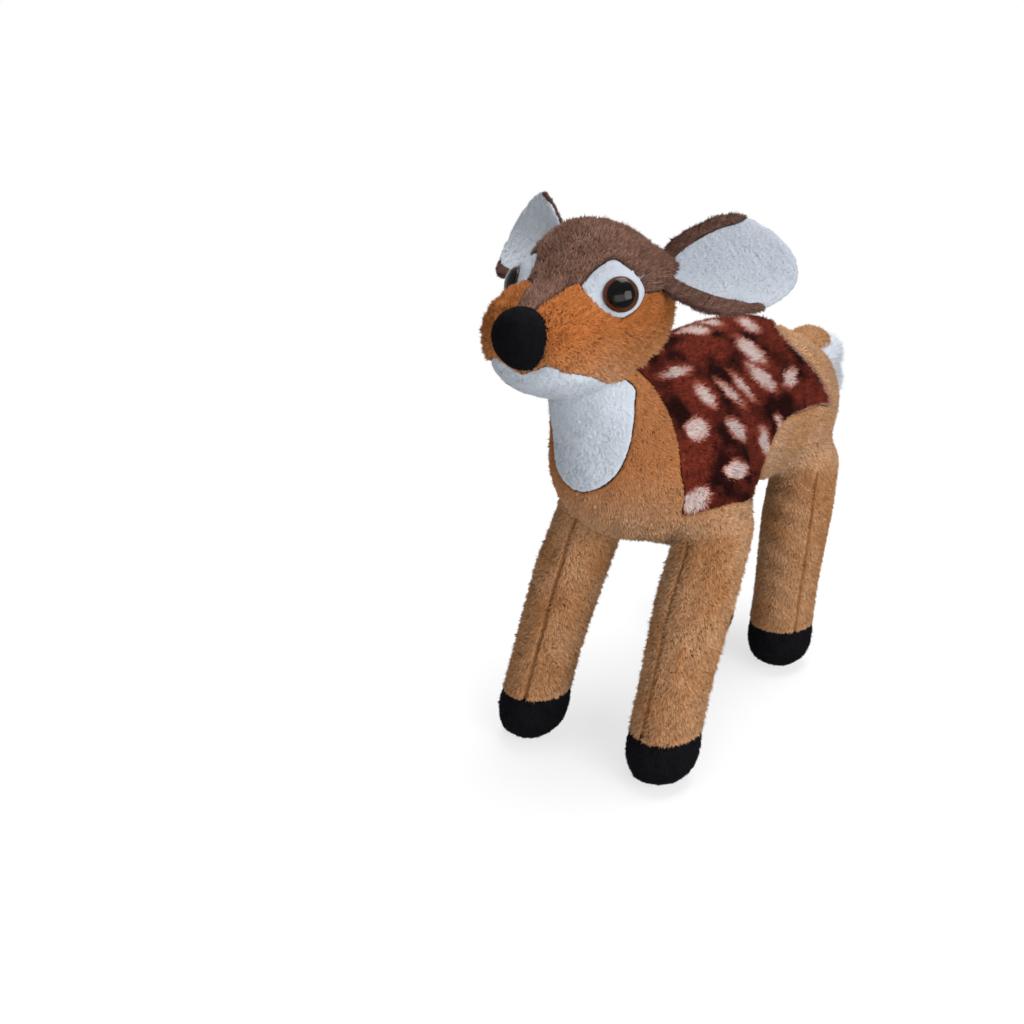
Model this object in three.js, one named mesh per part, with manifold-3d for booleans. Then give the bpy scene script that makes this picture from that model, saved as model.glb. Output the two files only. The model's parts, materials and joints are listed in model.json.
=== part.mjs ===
// A standing plush fawn, sewn from short-pile panels over stuffing, in millimetres.
// +Z is up, the fawn looks along -Y and its left side is at +X. The four soles rest on Z = 0.
import * as THREE from 'three';
import { mergeVertices } from 'three/addons/utils/BufferGeometryUtils.js';
import Module from 'manifold-3d';

const wasm = await Module();
wasm.setup();

// Cloth and clearances
const clothThickness = 2.4;
const seamGap = 0.3;
const swingGap = 0.9;
const neckGap = 0.4;
const earSwingGap = 0.4;
const cutOverrun = 40;
const soleFlat = 0.5;

// Torso, a barrel that lies along Y, with a haunch on each side at the rear and a shoulder at the front
const torsoLength = 204;
const torsoWidth = 92;
const torsoHeight = 100;
const bellyHeight = 112;
const torsoFrontLength = 72;
const haunchLength = 78;
const haunchHeight = 82;
const haunchSpread = 96;
const haunchBackLength = 90;
const haunchMiddleHeight = 158;
const shoulderLength = 56;
const shoulderHeight = 84;
const shoulderSpread = 116;
const shoulderForward = 19;
const shoulderMiddleHeight = 141;

// Neck, which stands on the front of the torso and ends in a ball inside the head
const neckPivotHeight = 212;
const neckPivotForward = 50;
const neckTopRadius = 27;
const neckBaseDrop = 66;
const neckBaseWidth = 84;
const neckBaseDepth = 74;
const neckBaseForward = 24;
const bibWidth = 52;

// Head, a form that lies along Y from the back of the skull to the snout
const headLength = 94;
const headWidth = 79;
const headHeight = 77;
const headTop = 280;
const snoutForward = 110;
const napeStripWidth = 24;

// Nose
const noseWidth = 32;
const noseHeight = 31;
const noseDepth = 25;
const noseMiddleHeight = 233;
const noseProud = 8;

// Eyes
const eyeDiameter = 16;
const eyeDomeHeight = 5.2;
const eyeBackThickness = 1.6;
const irisThickness = 0.6;
const pupilDiameter = 10;
const shankDiameter = 4.2;
const shankLength = 11;
const washerDiameter = 12;
const washerThickness = 1.5;
const washerDepth = 3.6;
const eyeSink = 1.9;
const eyeTurnDegrees = 42;
const eyeRiseDegrees = 20;
const eyePatchWidth = 28;
const eyePatchHeight = 26;

// Ears
const earLength = 61;
const earWidth = 47;
const earCup = 9;
const earBackThickness = 2.6;
const earLiningThickness = 1.6;
const earLiningGap = 0.5;
const earTipRim = 1.2;
const earRootRadius = 6.5;
const earRootWidth = 25;
const leftEarSweepDegrees = 20;
const rightEarSweepDegrees = 24;
const leftEarLiftDegrees = -2;
const rightEarLiftDegrees = 8;
const earOpenDegrees = 32;
const earFoldDegrees = 25;

// Legs
const legRadius = 16.8;
const hipRadius = 21;
const hipsAside = 4;
const frontHipHeight = 124;
const frontHipSpread = 39;
const frontHipForward = 18;
const leftFrontHoofSpread = 39;
const leftFrontHoofForward = 66;
const rightFrontHoofSpread = 45;
const rightFrontHoofForward = 71;
const rearHipHeight = 122;
const rearHipSpread = 27;
const rearHipBehindHaunch = 6;
const rearHoofSpread = 28;
const rearHoofAheadOfHip = 25;
const legBowShare = 0.06;
const legSwingDegrees = 20;
const hoofRadius = 19.2;
const hoofHeight = 28;
const soleHeight = 7;

// Tail
const tailLength = 47;
const tailWidth = 36;
const tailThickness = 35;
const tailRootRadius = 13;
const tailRootHeight = 169;
const tailRootSink = 6;
const tailLiftDegrees = 12;
const tailSwingDegrees = 25;
const tailTopDrawnIn = 3;

// How finely each kind of form is divided, as sides and rings
const coarse = { sides: 8, rings: 7 };
const divisions = {
  torso: { sides: 16, rings: 13 },
  neck: { sides: 12, rings: 6 },
  neckRoom: { sides: 16, rings: 4 },
  swell: { sides: 8, rings: 4 },
  head: { sides: 16, rings: 11 },
  leg: { sides: 10, rings: 10 },
  limbInside: { sides: 5, rings: 10 },
  socket: { sides: 8, rings: 5 },
  ear: { sides: 12, rings: 6 },
  earRoot: { sides: 8, rings: 5 },
  nose: { sides: 12, rings: 8 },
  tail: { sides: 12, rings: 8 },
  eye: 14,
};
const outlinePoints = 14;

// Colours from the photograph, one per cloth or plastic
const finishes = {
  tan: { color: 0xb8834d, roughness: 0.95, metalness: 0 },
  brown: { color: 0x765445, roughness: 0.95, metalness: 0 },
  white: { color: 0xe9edf2, roughness: 0.95, metalness: 0 },
  saddle: { color: 0x53231b, roughness: 0.95, metalness: 0 },
  black: { color: 0x17181b, roughness: 0.95, metalness: 0 },
  clear: { color: 0x30261f, roughness: 0.08, metalness: 0 },
  iris: { color: 0x5a3018, roughness: 0.3, metalness: 0 },
  plastic: { color: 0x0a0a0b, roughness: 0.3, metalness: 0 },
  stuffing: { color: 0xf2f2ee, roughness: 1, metalness: 0 },
};

// Makes a closed geometry into a solid that can be joined and cut.
function solidOf(geometry) {
  const bare = geometry.clone();
  bare.deleteAttribute('normal');
  bare.deleteAttribute('uv');
  const merged = mergeVertices(bare);
  return new wasm.Manifold(new wasm.Mesh({
    numProp: 3,
    vertProperties: new Float32Array(merged.attributes.position.array),
    triVerts: new Uint32Array(merged.index.array),
  }));
}

// Gives the triangles of a solid back as a geometry.
function geometryOf(solid) {
  const mesh = solid.getMesh();
  const geometry = new THREE.BufferGeometry();
  geometry.setAttribute('position', new THREE.BufferAttribute(new Float32Array(mesh.vertProperties), 3));
  geometry.setIndex(new THREE.BufferAttribute(new Uint32Array(mesh.triVerts), 1));
  geometry.computeVertexNormals();
  return geometry;
}

// Reads a table of rows at a share of the way along it, on a smooth curve through the rows.
function readRows(rows, share, column) {
  const last = rows.length - 1;
  let index = rows.findIndex((row) => row[0] >= share);
  if (index < 0) index = last;
  const high = Math.max(1, index);
  const low = high - 1;
  const before = rows[Math.max(0, low - 1)];
  const after = rows[Math.min(last, high + 1)];
  const span = rows[high][0] - rows[low][0];
  const t = Math.min(1, Math.max(0, (share - rows[low][0]) / span));
  const slopeLow = (rows[high][column] - before[column]) / (rows[high][0] - before[0]);
  const slopeHigh = (after[column] - rows[low][column]) / (after[0] - rows[low][0]);
  const a = rows[low][column];
  const b = rows[high][column];
  return a * (2 * t ** 3 - 3 * t ** 2 + 1) + slopeLow * span * (t ** 3 - 2 * t ** 2 + t)
    + b * (3 * t ** 2 - 2 * t ** 3) + slopeHigh * span * (t ** 3 - t ** 2);
}

// A rounding from 0 at each end of a form to 1 where its end dome is over.
function domeAt(share, endShares) {
  const near = Math.min(1, share / endShares[0]);
  const far = Math.min(1, (1 - share) / endShares[1]);
  return Math.sqrt(Math.max(0, 1 - (1 - near) ** 2)) * Math.sqrt(Math.max(0, 1 - (1 - far) ** 2));
}

// Reshapes a unit sphere: its pole axis becomes the long axis of a stuffed form.
function reshapedBall(sides, rings, placeOf) {
  const geometry = new THREE.SphereGeometry(1, sides, rings);
  const position = geometry.attributes.position;
  const point = new THREE.Vector3();
  for (let i = 0; i < position.count; i += 1) {
    point.fromBufferAttribute(position, i);
    const polar = Math.acos(THREE.MathUtils.clamp(point.y, -1, 1));
    const around = Math.atan2(point.z, -point.x);
    const pole = Math.abs(point.y) > 1 - 1e-9;
    const place = placeOf(polar, pole ? 0 : around, pole);
    position.setXYZ(i, place.x, place.y, place.z);
  }
  return geometry;
}

// A place on a form that lies along Y: share 0 is its rear end and 1 its front end.
// Angle 0 is the fawn's left and a quarter turn is the top. The inset shrinks it all round.
// Rows give, by share, the middle height, half width, rise above, drop below and lower squareness.
function lyingPlace(form, share, angle, inset) {
  const dome = domeAt(share, form.endShares);
  const y = form.rear - inset - share * (form.length - 2 * inset);
  const middle = form.bottom + form.height * readRows(form.rowShares, share, 1);
  const side = (form.width / 2) * readRows(form.rowShares, share, 2) - inset;
  const rise = form.height * readRows(form.rowShares, share, Math.sin(angle) > 0 ? 3 : 4) - inset;
  const taper = 1 - form.topTaperShare * Math.max(0, Math.sin(angle));
  const square = Math.sin(angle) < 0 ? readRows(form.rowShares, share, 5) : 0;
  const reach = Math.sign(Math.cos(angle)) * Math.abs(Math.cos(angle)) ** (1 - square);
  return new THREE.Vector3(
    dome * side * taper * reach,
    y,
    middle + dome * rise * Math.sin(angle),
  );
}

function lyingForm(form, { sides, rings }, inset) {
  return reshapedBall(sides, rings, (polar, around, pole) => {
    const share = (1 + Math.cos(polar)) / 2;
    const place = lyingPlace(form, share, around, inset);
    if (pole) place.x = 0;
    return place;
  });
}

// A form that hangs from a ball at a pivot to a rounded end below it, with level rings.
// Rows give, by share of the way down, how far along the lean it is and its two half widths.
function hangingForm(form, { sides, rings }, inset) {
  const pivot = form.pivot;
  return reshapedBall(sides, rings, (polar, around) => {
    const quarter = Math.PI / 2;
    if (polar <= quarter) {
      const flat = (form.pivotRadius - inset) * Math.sin(polar);
      return new THREE.Vector3(
        pivot.x + flat * Math.cos(around),
        pivot.y + flat * Math.sin(around),
        pivot.z + (form.pivotRadius - inset) * Math.cos(polar),
      );
    }
    const share = Math.sin(polar - quarter);
    const drop = share * (form.drop - inset);
    const end = domeAt((1 + share) / 2, [1 / 2, form.endShare / 2]);
    const lean = readRows(form.rowShares, share, 1);
    const sideShare = readRows(form.rowShares, share, 2);
    const depthShare = readRows(form.rowShares, share, 3);
    const side = THREE.MathUtils.lerp(form.pivotRadius, form.endHalfWidth, sideShare) - inset;
    const depth = THREE.MathUtils.lerp(form.pivotRadius, form.endHalfDepth, depthShare) - inset;
    return new THREE.Vector3(
      pivot.x + lean * (form.end.x - pivot.x) + end * side * Math.cos(around),
      pivot.y + lean * (form.end.y - pivot.y) + end * depth * Math.sin(around),
      pivot.z - drop,
    );
  });
}

// Turns an outline of [a, b] pairs into a smooth closed one with more points.
function smoothOutline(pairs) {
  const corners = pairs.map(([a, b]) => new THREE.Vector3(a, b, 0));
  const curve = new THREE.CatmullRomCurve3(corners, true, 'centripetal');
  const points = curve.getSpacedPoints(outlinePoints).slice(0, outlinePoints);
  return points.map((point) => new THREE.Vector2(point.x, point.y));
}

// Moves each point of an outline inwards by a distance.
function drawnIn(points, distance) {
  const area = THREE.ShapeUtils.area(points);
  const way = Math.sign(area) * distance;
  return points.map((point, i) => {
    const before = points[(i + points.length - 1) % points.length];
    const after = points[(i + 1) % points.length];
    const along = after.clone().sub(before).normalize();
    return new THREE.Vector2(point.x - along.y * way, point.y + along.x * way);
  });
}

const prismBases = {
  x: [new THREE.Vector3(0, 1, 0), new THREE.Vector3(0, 0, 1), new THREE.Vector3(1, 0, 0)],
  y: [new THREE.Vector3(1, 0, 0), new THREE.Vector3(0, 0, 1), new THREE.Vector3(0, -1, 0)],
  z: [new THREE.Vector3(1, 0, 0), new THREE.Vector3(0, 1, 0), new THREE.Vector3(0, 0, 1)],
};

// A prism on an outline, along one axis from one place to another.
function prism(points, axis, from, to) {
  const shape = new THREE.Shape(points);
  const geometry = new THREE.ExtrudeGeometry(shape, { depth: Math.abs(to - from), bevelEnabled: false });
  const basis = new THREE.Matrix4().makeBasis(...prismBases[axis]);
  geometry.applyMatrix4(basis);
  const start = axis === 'y' ? Math.max(from, to) : Math.min(from, to);
  const shift = { x: 0, y: 0, z: 0, [axis]: start };
  geometry.translate(shift.x, shift.y, shift.z);
  return geometry;
}

// The room that a ball-ended limb needs as it swings both ways about X at its ball.
// The limb hangs down -Z. Above, the room is the ball. Below, it widens as the limb's sides swing.
function swingRoom(radius, depth, degrees) {
  const { sides: around, rings } = divisions.socket;
  const swing = THREE.MathUtils.degToRad(degrees);
  const halfStep = Math.PI / around;
  const ball = radius / Math.cos(halfStep);
  const ballPolar = Math.PI / 2 - swing;
  return reshapedBall(around, rings, (polar, angle, pole) => {
    const turn = angle + halfStep;
    if (polar <= ballPolar) {
      const flat = ball * Math.sin(polar);
      return new THREE.Vector3(flat * Math.cos(turn), flat * Math.sin(turn), ball * Math.cos(polar));
    }
    const share = (polar - ballPolar) / (Math.PI - ballPolar);
    const height = THREE.MathUtils.lerp(ball * Math.sin(swing), -depth, share);
    if (pole) return new THREE.Vector3(0, 0, height);
    const widest = height > 0 ? Math.sqrt(ball ** 2 - height ** 2) : ball;
    const x = widest * Math.cos(turn);
    const chord = Math.sqrt(Math.max(0, ball ** 2 - x ** 2));
    const round = height > chord * Math.sin(swing);
    const y = round
      ? Math.sqrt(Math.max(0, chord ** 2 - height ** 2))
      : chord / Math.cos(swing) - height * Math.tan(swing);
    return new THREE.Vector3(x, y * Math.sign(Math.sin(turn)), height);
  });
}

// A slab of space between two heights, wide enough to take the whole fawn.
function level(from, to) {
  const reach = torsoLength + headLength;
  const slab = new THREE.BoxGeometry(2 * reach, 2 * reach, to - from);
  slab.translate(0, 0, (from + to) / 2);
  return solidOf(slab);
}

const axisZ = new THREE.Vector3(0, 0, 1);
const sides = { right: -1, left: 1 };

// Torso, neck and haunches
const torsoForm = {
  rear: torsoLength - torsoFrontLength,
  length: torsoLength,
  width: torsoWidth,
  height: torsoHeight,
  bottom: bellyHeight,
  topTaperShare: 0,
  endShares: [0.24, 0.22],
  rowShares: [
    [0.0, 0.45, 0.84, 0.4, 0.4, 0],
    [0.15, 0.45, 0.98, 0.48, 0.44, 0],
    [0.35, 0.46, 0.94, 0.53, 0.42, 0],
    [0.6, 0.46, 0.94, 0.52, 0.41, 0],
    [0.84, 0.45, 0.94, 0.46, 0.43, 0],
    [1.0, 0.45, 0.88, 0.34, 0.36, 0],
  ],
};

const neckForm = {
  pivot: new THREE.Vector3(0, -neckPivotForward, neckPivotHeight),
  pivotRadius: neckTopRadius,
  end: new THREE.Vector3(0, -neckBaseForward, neckPivotHeight - neckBaseDrop),
  drop: neckBaseDrop,
  endHalfWidth: neckBaseWidth / 2,
  endHalfDepth: neckBaseDepth / 2,
  endShare: 0.35,
  rowShares: [
    [0.0, 0.0, 0.0, 0.0],
    [0.3, 0.22, 0.45, 0.35],
    [0.7, 0.75, 0.75, 0.88],
    [1.0, 1.0, 1.0, 1.0],
  ],
};

// The swell of the torso over a hip: from the middle plane out to half its spread
function swellSolid(side, inset, { spread, length, height, place }) {
  const { sides: around, rings } = divisions.swell;
  const ball = new THREE.SphereGeometry(1, around, rings);
  const halfWidth = spread / 4;
  ball.scale(halfWidth - inset, length / 2 - inset, height / 2 - inset);
  ball.translate(side * halfWidth + place.x, place.y, place.z);
  return solidOf(ball);
}

const haunchForm = {
  spread: haunchSpread,
  length: haunchLength,
  height: haunchHeight,
  place: new THREE.Vector3(0, haunchBackLength, haunchMiddleHeight),
};
const shoulderForm = {
  spread: shoulderSpread,
  length: shoulderLength,
  height: shoulderHeight,
  place: new THREE.Vector3(hipsAside, -shoulderForward, shoulderMiddleHeight),
};

function torsoSolid(inset, torsoDivision, neckDivision) {
  return solidOf(lyingForm(torsoForm, torsoDivision, inset))
    .add(solidOf(hangingForm(neckForm, neckDivision, inset)))
    .add(swellSolid(sides.left, inset, haunchForm))
    .add(swellSolid(sides.right, inset, haunchForm))
    .add(swellSolid(sides.left, inset, shoulderForm))
    .add(swellSolid(sides.right, inset, shoulderForm));
}

// Head form
const headForm = {
  rear: headLength - snoutForward,
  length: headLength,
  width: headWidth,
  height: headHeight,
  bottom: headTop - headHeight,
  topTaperShare: -0.12,
  endShares: [0.38, 0.19],
  rowShares: [
    [0.0, 0.5, 0.84, 0.38, 0.44, 0.1],
    [0.28, 0.49, 0.89, 0.47, 0.48, 0.15],
    [0.45, 0.5, 0.91, 0.49, 0.505, 0.25],
    [0.58, 0.5, 0.89, 0.31, 0.5, 0.35],
    [0.7, 0.44, 0.84, 0.23, 0.435, 0.4],
    [0.86, 0.38, 0.8, 0.22, 0.36, 0.35],
    [1.0, 0.36, 0.76, 0.2, 0.32, 0.2],
  ],
};

// Legs: one for each corner, hung from a hip ball and cut flat under the sole.
const rearHipBack = haunchBackLength + rearHipBehindHaunch;
const rearHoofBack = rearHipBack - rearHoofAheadOfHip;
const corners = [
  {
    name: 'front_left',
    hip: [frontHipSpread, -frontHipForward, frontHipHeight],
    hoof: [leftFrontHoofSpread, -leftFrontHoofForward],
  },
  {
    name: 'front_right',
    hip: [-frontHipSpread, -frontHipForward, frontHipHeight],
    hoof: [-rightFrontHoofSpread, -rightFrontHoofForward],
  },
  {
    name: 'rear_left',
    hip: [rearHipSpread, rearHipBack, rearHipHeight],
    hoof: [rearHoofSpread, rearHoofBack],
  },
  {
    name: 'rear_right',
    hip: [-rearHipSpread, rearHipBack, rearHipHeight],
    hoof: [-rearHoofSpread, rearHoofBack],
  },
];

// The hips stand a little to the fawn's left of the hooves, as it leans in the photograph.
function legForm({ hip, hoof }) {
  const [hipX, hipY, hipHeight] = hip;
  return {
    pivot: new THREE.Vector3(hipX + hipsAside, hipY, hipHeight),
    pivotRadius: hipRadius,
    end: new THREE.Vector3(...hoof, 0),
    drop: hipHeight + soleFlat,
    endHalfWidth: legRadius,
    endHalfDepth: legRadius,
    endShare: 0.13,
    rowShares: legRowShares(hipHeight),
  };
}

// A leg bows forward a little in its lean, which ends at the middle of the hoof.
// The hoof is fuller than the shin.
function legRowShares(hipHeight) {
  const hoof = (hipRadius - hoofRadius) / (hipRadius - legRadius);
  const cuff = 1 - hoofHeight / hipHeight;
  const middle = 1 - hoofHeight / (2 * hipHeight);
  const bow = (share) => share / middle + legBowShare * Math.sin((Math.PI * share) / middle);
  return [
    [0.0, 0.0, 0.0, 0.0],
    [0.25, bow(0.25), 0.4, 0.4],
    [0.5, bow(0.5), 0.75, 0.75],
    [cuff, bow(cuff), 1.0, 1.0],
    [middle, 1.0, hoof, hoof],
    [1.0, 1.0, hoof, hoof],
  ];
}

// The room that one leg needs in the torso as it swings at the hip.
function legRoom(corner) {
  const { pivot, end, drop } = legForm(corner);
  const lean = Math.atan2(end.y - pivot.y, drop);
  const room = swingRoom(hipRadius + swingGap, hipRadius * 2, legSwingDegrees).rotateX(lean);
  return solidOf(room.translate(pivot.x, pivot.y, pivot.z));
}

// Tail: a leaf-shaped form that leaves the rump, made hanging and then lifted to its slope.
const tailPivot = new THREE.Vector3(0, torsoForm.rear - tailRootSink, tailRootHeight);
const tailForm = {
  pivot: new THREE.Vector3(),
  pivotRadius: tailRootRadius,
  end: new THREE.Vector3(0, 0, -tailLength),
  drop: tailLength,
  endHalfWidth: tailWidth / 2,
  endHalfDepth: tailThickness / 2,
  endShare: 0.5,
  rowShares: [
    [0.0, 0.0, 0.0, 0.0],
    [0.25, 0.25, 0.4, 0.35],
    [0.6, 0.6, 1.0, 1.0],
    [1.0, 1.0, 1.0, 1.0],
  ],
};

// The frame of the tail at its root: -Z runs out along the tail.
const tailFrame = new THREE.Matrix4()
  .makeRotationX(Math.PI / 2 + THREE.MathUtils.degToRad(tailLiftDegrees))
  .setPosition(tailPivot);

// Ears: each has a frame at its root, with X out along the ear, Y across it and Z as it faces.
const earSeatShare = 0.24;
const earSeatAngle = 0.5;

function earFrame(sideName) {
  const side = sides[sideName];
  const angle = side > 0 ? earSeatAngle : Math.PI - earSeatAngle;
  const seat = lyingPlace(headForm, earSeatShare, angle, 0);
  const sweep = THREE.MathUtils.degToRad(side > 0 ? leftEarSweepDegrees : rightEarSweepDegrees);
  const lift = THREE.MathUtils.degToRad(side > 0 ? leftEarLiftDegrees : rightEarLiftDegrees);
  const open = THREE.MathUtils.degToRad(earOpenDegrees);
  const level = Math.cos(lift);
  const out = new THREE.Vector3(side * Math.cos(sweep) * level, Math.sin(sweep) * level, Math.sin(lift));
  const ahead = new THREE.Vector3().crossVectors(out, axisZ).multiplyScalar(side).normalize();
  const above = new THREE.Vector3().crossVectors(ahead, out).multiplyScalar(side);
  const facing = ahead.multiplyScalar(Math.cos(open)).addScaledVector(above, Math.sin(open));
  const across = new THREE.Vector3().crossVectors(facing, out);
  return new THREE.Matrix4().makeBasis(out, across, facing).setPosition(seat);
}

// Half the width of an ear and of its lining, by share of its length from the root,
// as shares of half the ear's full width
const earWidthShares = [
  [0.0, 1.2, 0.1],
  [0.14, 1.08, 0.45],
  [0.35, 1.0, 0.8],
  [0.55, 1.02, 0.96],
  [0.75, 0.96, 0.93],
  [1.0, 0.92, 0.86],
];
const earColumns = { back: 1, lining: 2 };

// A cupped leaf from one place along the ear to another and between two depths.
function earLeaf(column, [root, tip], [low, high]) {
  const { sides: around, rings } = divisions.ear;
  const leaf = new THREE.SphereGeometry(1, around, rings).rotateX(Math.PI / 2);
  const position = leaf.attributes.position;
  for (let i = 0; i < position.count; i += 1) {
    const share = (1 + position.getX(i)) / 2;
    const across = (position.getY(i) * readRows(earWidthShares, share, column) * earWidth) / 2;
    const height = position.getZ(i);
    const thick = Math.sign(height) * Math.sqrt(Math.abs(height));
    const cup = earCup * (across / (earWidth / 2)) ** 2;
    const x = THREE.MathUtils.lerp(root, tip, share);
    position.setXYZ(i, x, across, cup + THREE.MathUtils.lerp(low, high, (1 + thick) / 2));
  }
  return leaf;
}

// The ear's back cloth with its rolled root.
function earBackSolid() {
  const { sides: around, rings } = divisions.earRoot;
  const root = new THREE.SphereGeometry(earRootRadius, around, rings);
  root.scale(1, earRootWidth / (2 * earRootRadius), 1);
  const leaf = earLeaf(earColumns.back, [0, earLength], [-earBackThickness, 0]);
  return solidOf(leaf).add(solidOf(root));
}

// The lining lies on the back's front face, from the root nearly to the tip.
function earLiningSolid() {
  const reach = [earRootRadius + seamGap, earLength - earTipRim];
  return solidOf(earLeaf(earColumns.lining, reach, [earLiningGap, earLiningGap + earLiningThickness]));
}

// The room that an ear needs in the head as it folds about its root line.
function earRoom(frame) {
  const room = swingRoom(earRootRadius + earSwingGap, earRootRadius * 2, earFoldDegrees);
  room.scale(earRootWidth / (2 * earRootRadius), 1, 1);
  const hangs = new THREE.Matrix4().makeBasis(
    new THREE.Vector3(0, 1, 0),
    new THREE.Vector3(0, 0, -1),
    new THREE.Vector3(-1, 0, 0),
  );
  return solidOf(room.applyMatrix4(hangs).applyMatrix4(frame));
}

// Eyes: each has a frame sunk a little in the head, with Y up and Z the way the eye looks.
const eyeShare = 0.615;
const eyeAngle = 0.51;

function eyeFrame(sideName) {
  const side = sides[sideName];
  const angle = side > 0 ? eyeAngle : Math.PI - eyeAngle;
  const seat = lyingPlace(headForm, eyeShare, angle, 0);
  const turn = THREE.MathUtils.degToRad(eyeTurnDegrees);
  const rise = THREE.MathUtils.degToRad(eyeRiseDegrees);
  const level = Math.cos(rise);
  const out = new THREE.Vector3(side * Math.sin(turn) * level, -Math.cos(turn) * level, Math.sin(rise));
  const above = axisZ.clone().addScaledVector(out, -out.z).normalize();
  const along = new THREE.Vector3().crossVectors(above, out);
  seat.addScaledVector(out, -eyeSink);
  return new THREE.Matrix4().makeBasis(along, above, out).setPosition(seat);
}

// The eye patch about the eye, as shares of its width towards the nose and its height upwards.
const eyePatchShares = [
  [0.58, 0.3], [0.36, 0.57], [0.06, 0.65], [-0.17, 0.52], [-0.33, 0.3],
  [-0.41, 0.05], [-0.36, -0.2], [-0.2, -0.34], [0.08, -0.34], [0.32, -0.2], [0.5, 0.05],
];

function eyePatchRoom(sideName, grown) {
  const way = sides[sideName];
  const pairs = eyePatchShares.map(([a, b]) => [-way * a * eyePatchWidth, b * eyePatchHeight]);
  const outline = drawnIn(smoothOutline(pairs), -grown);
  const block = prism(outline, 'z', -eyePatchWidth / 2, eyePatchWidth / 2);
  return solidOf(block.applyMatrix4(eyeFrame(sideName)));
}

// A closed profile of [radius, height] pairs, turned about Z.
function turnedProfile(pairs, around) {
  const points = pairs.map(([radius, height]) => new THREE.Vector2(radius, height));
  return new THREE.LatheGeometry(points, around).rotateX(Math.PI / 2);
}

// Seams of the torso panels, seen from the side or the front, as shares of the torso's own sizes
const saddleShares = [
  [0.1, 1.1], [0.14, 0.83], [0.154, 0.7], [0.147, 0.58], [0.14, 0.47], [0.155, 0.33], [0.17, 0.24],
  [0.25, 0.235], [0.34, 0.26], [0.43, 0.25], [0.48, 0.3], [0.52, 0.4], [0.57, 0.52], [0.66, 0.525],
  [0.77, 0.51], [0.815, 0.57], [0.79, 0.7], [0.745, 0.85], [0.725, 1.1], [0.6, 1.3], [0.25, 1.3],
];
const bibShares = [
  [0, 0.4], [0.17, 0.44], [0.35, 0.53], [0.44, 0.65], [0.48, 0.78], [0.5, 0.92], [0.26, 1.2],
];

function torsoY(share) {
  return -torsoFrontLength + share * torsoLength;
}

function torsoZ(share) {
  return bellyHeight + share * torsoHeight;
}

function saddleRoom(grown) {
  const outline = smoothOutline(saddleShares.map(([y, z]) => [torsoY(y), torsoZ(z)]));
  return solidOf(prism(drawnIn(outline, -grown), 'x', -torsoWidth, torsoWidth));
}

// The bib is on the front of the neck only.
function bibRoom(grown) {
  const half = bibShares.map(([x, z]) => [x * bibWidth, torsoZ(z)]);
  const mirrored = half.slice(1).reverse().map(([x, z]) => [-x, z]);
  const outline = drawnIn(smoothOutline([...half, ...mirrored]), -grown);
  const front = -neckPivotForward - neckTopRadius - cutOverrun;
  return solidOf(prism(outline, 'y', front, -neckPivotForward + grown));
}

// Seams of the head panels, as shares of the head's length from the snout and of its height
const crownSideShares = [
  [-0.2, 0.42], [0.38, 0.475], [0.42, 0.6], [0.66, 0.57], [0.83, 0.55], [1.3, 0.5], [1.3, 1.5], [-0.2, 1.5],
];
const crownTopShares = [
  [-0.2, 0.2], [0.08, 0.24], [0.14, 0.31], [0.19, 0.42], [0.23, 0.53], [0.3, 0.6], [0.4, 0.76],
  [0.49, 0.92], [0.51, 1.4], [1.3, 1.4],
];
const chinSideShares = [
  [-0.2, 0.22], [0.08, 0.235], [0.17, 0.175], [0.28, 0.1], [0.49, 0.0], [0.6, -0.3], [-0.2, -0.3],
];

function headY(share) {
  return -snoutForward + share * headLength;
}

function headZ(share) {
  return headForm.bottom + share * headHeight;
}

function straightOutline(pairs) {
  return pairs.map(([a, b]) => new THREE.Vector2(a, b));
}

function crownRoom(grown) {
  const side = straightOutline(crownSideShares.map(([y, z]) => [headY(y), headZ(z)]));
  const half = crownTopShares.map(([y, x]) => [(x * headWidth) / 2, headY(y)]);
  const mirrored = half.slice().reverse().map(([x, y]) => [-x, y]);
  const top = straightOutline([...half, ...mirrored]);
  const cap = solidOf(prism(drawnIn(side, -grown), 'x', -headWidth, headWidth))
    .intersect(solidOf(prism(drawnIn(top, -grown), 'z', headForm.bottom, headTop + cutOverrun)));
  const strip = new THREE.BoxGeometry(napeStripWidth + 2 * grown, headLength, headHeight);
  strip.translate(0, headForm.rear, headForm.bottom + headHeight / 4);
  return cap.add(solidOf(strip));
}

function chinRoom(grown) {
  const side = straightOutline(chinSideShares.map(([y, z]) => [headY(y), headZ(z)]));
  return solidOf(prism(drawnIn(side, -grown), 'x', -headWidth, headWidth));
}

function noseSolid(grown) {
  const { sides: around, rings } = divisions.nose;
  const ball = new THREE.SphereGeometry(1, around, rings);
  ball.scale(noseWidth / 2 + grown, noseDepth / 2 + grown, noseHeight / 2 + grown);
  ball.translate(0, -snoutForward - noseProud + noseDepth / 2, noseMiddleHeight);
  return solidOf(ball);
}

const headUndercutShare = 0.98;
const headUndercutDropShare = 0.33;

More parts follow.
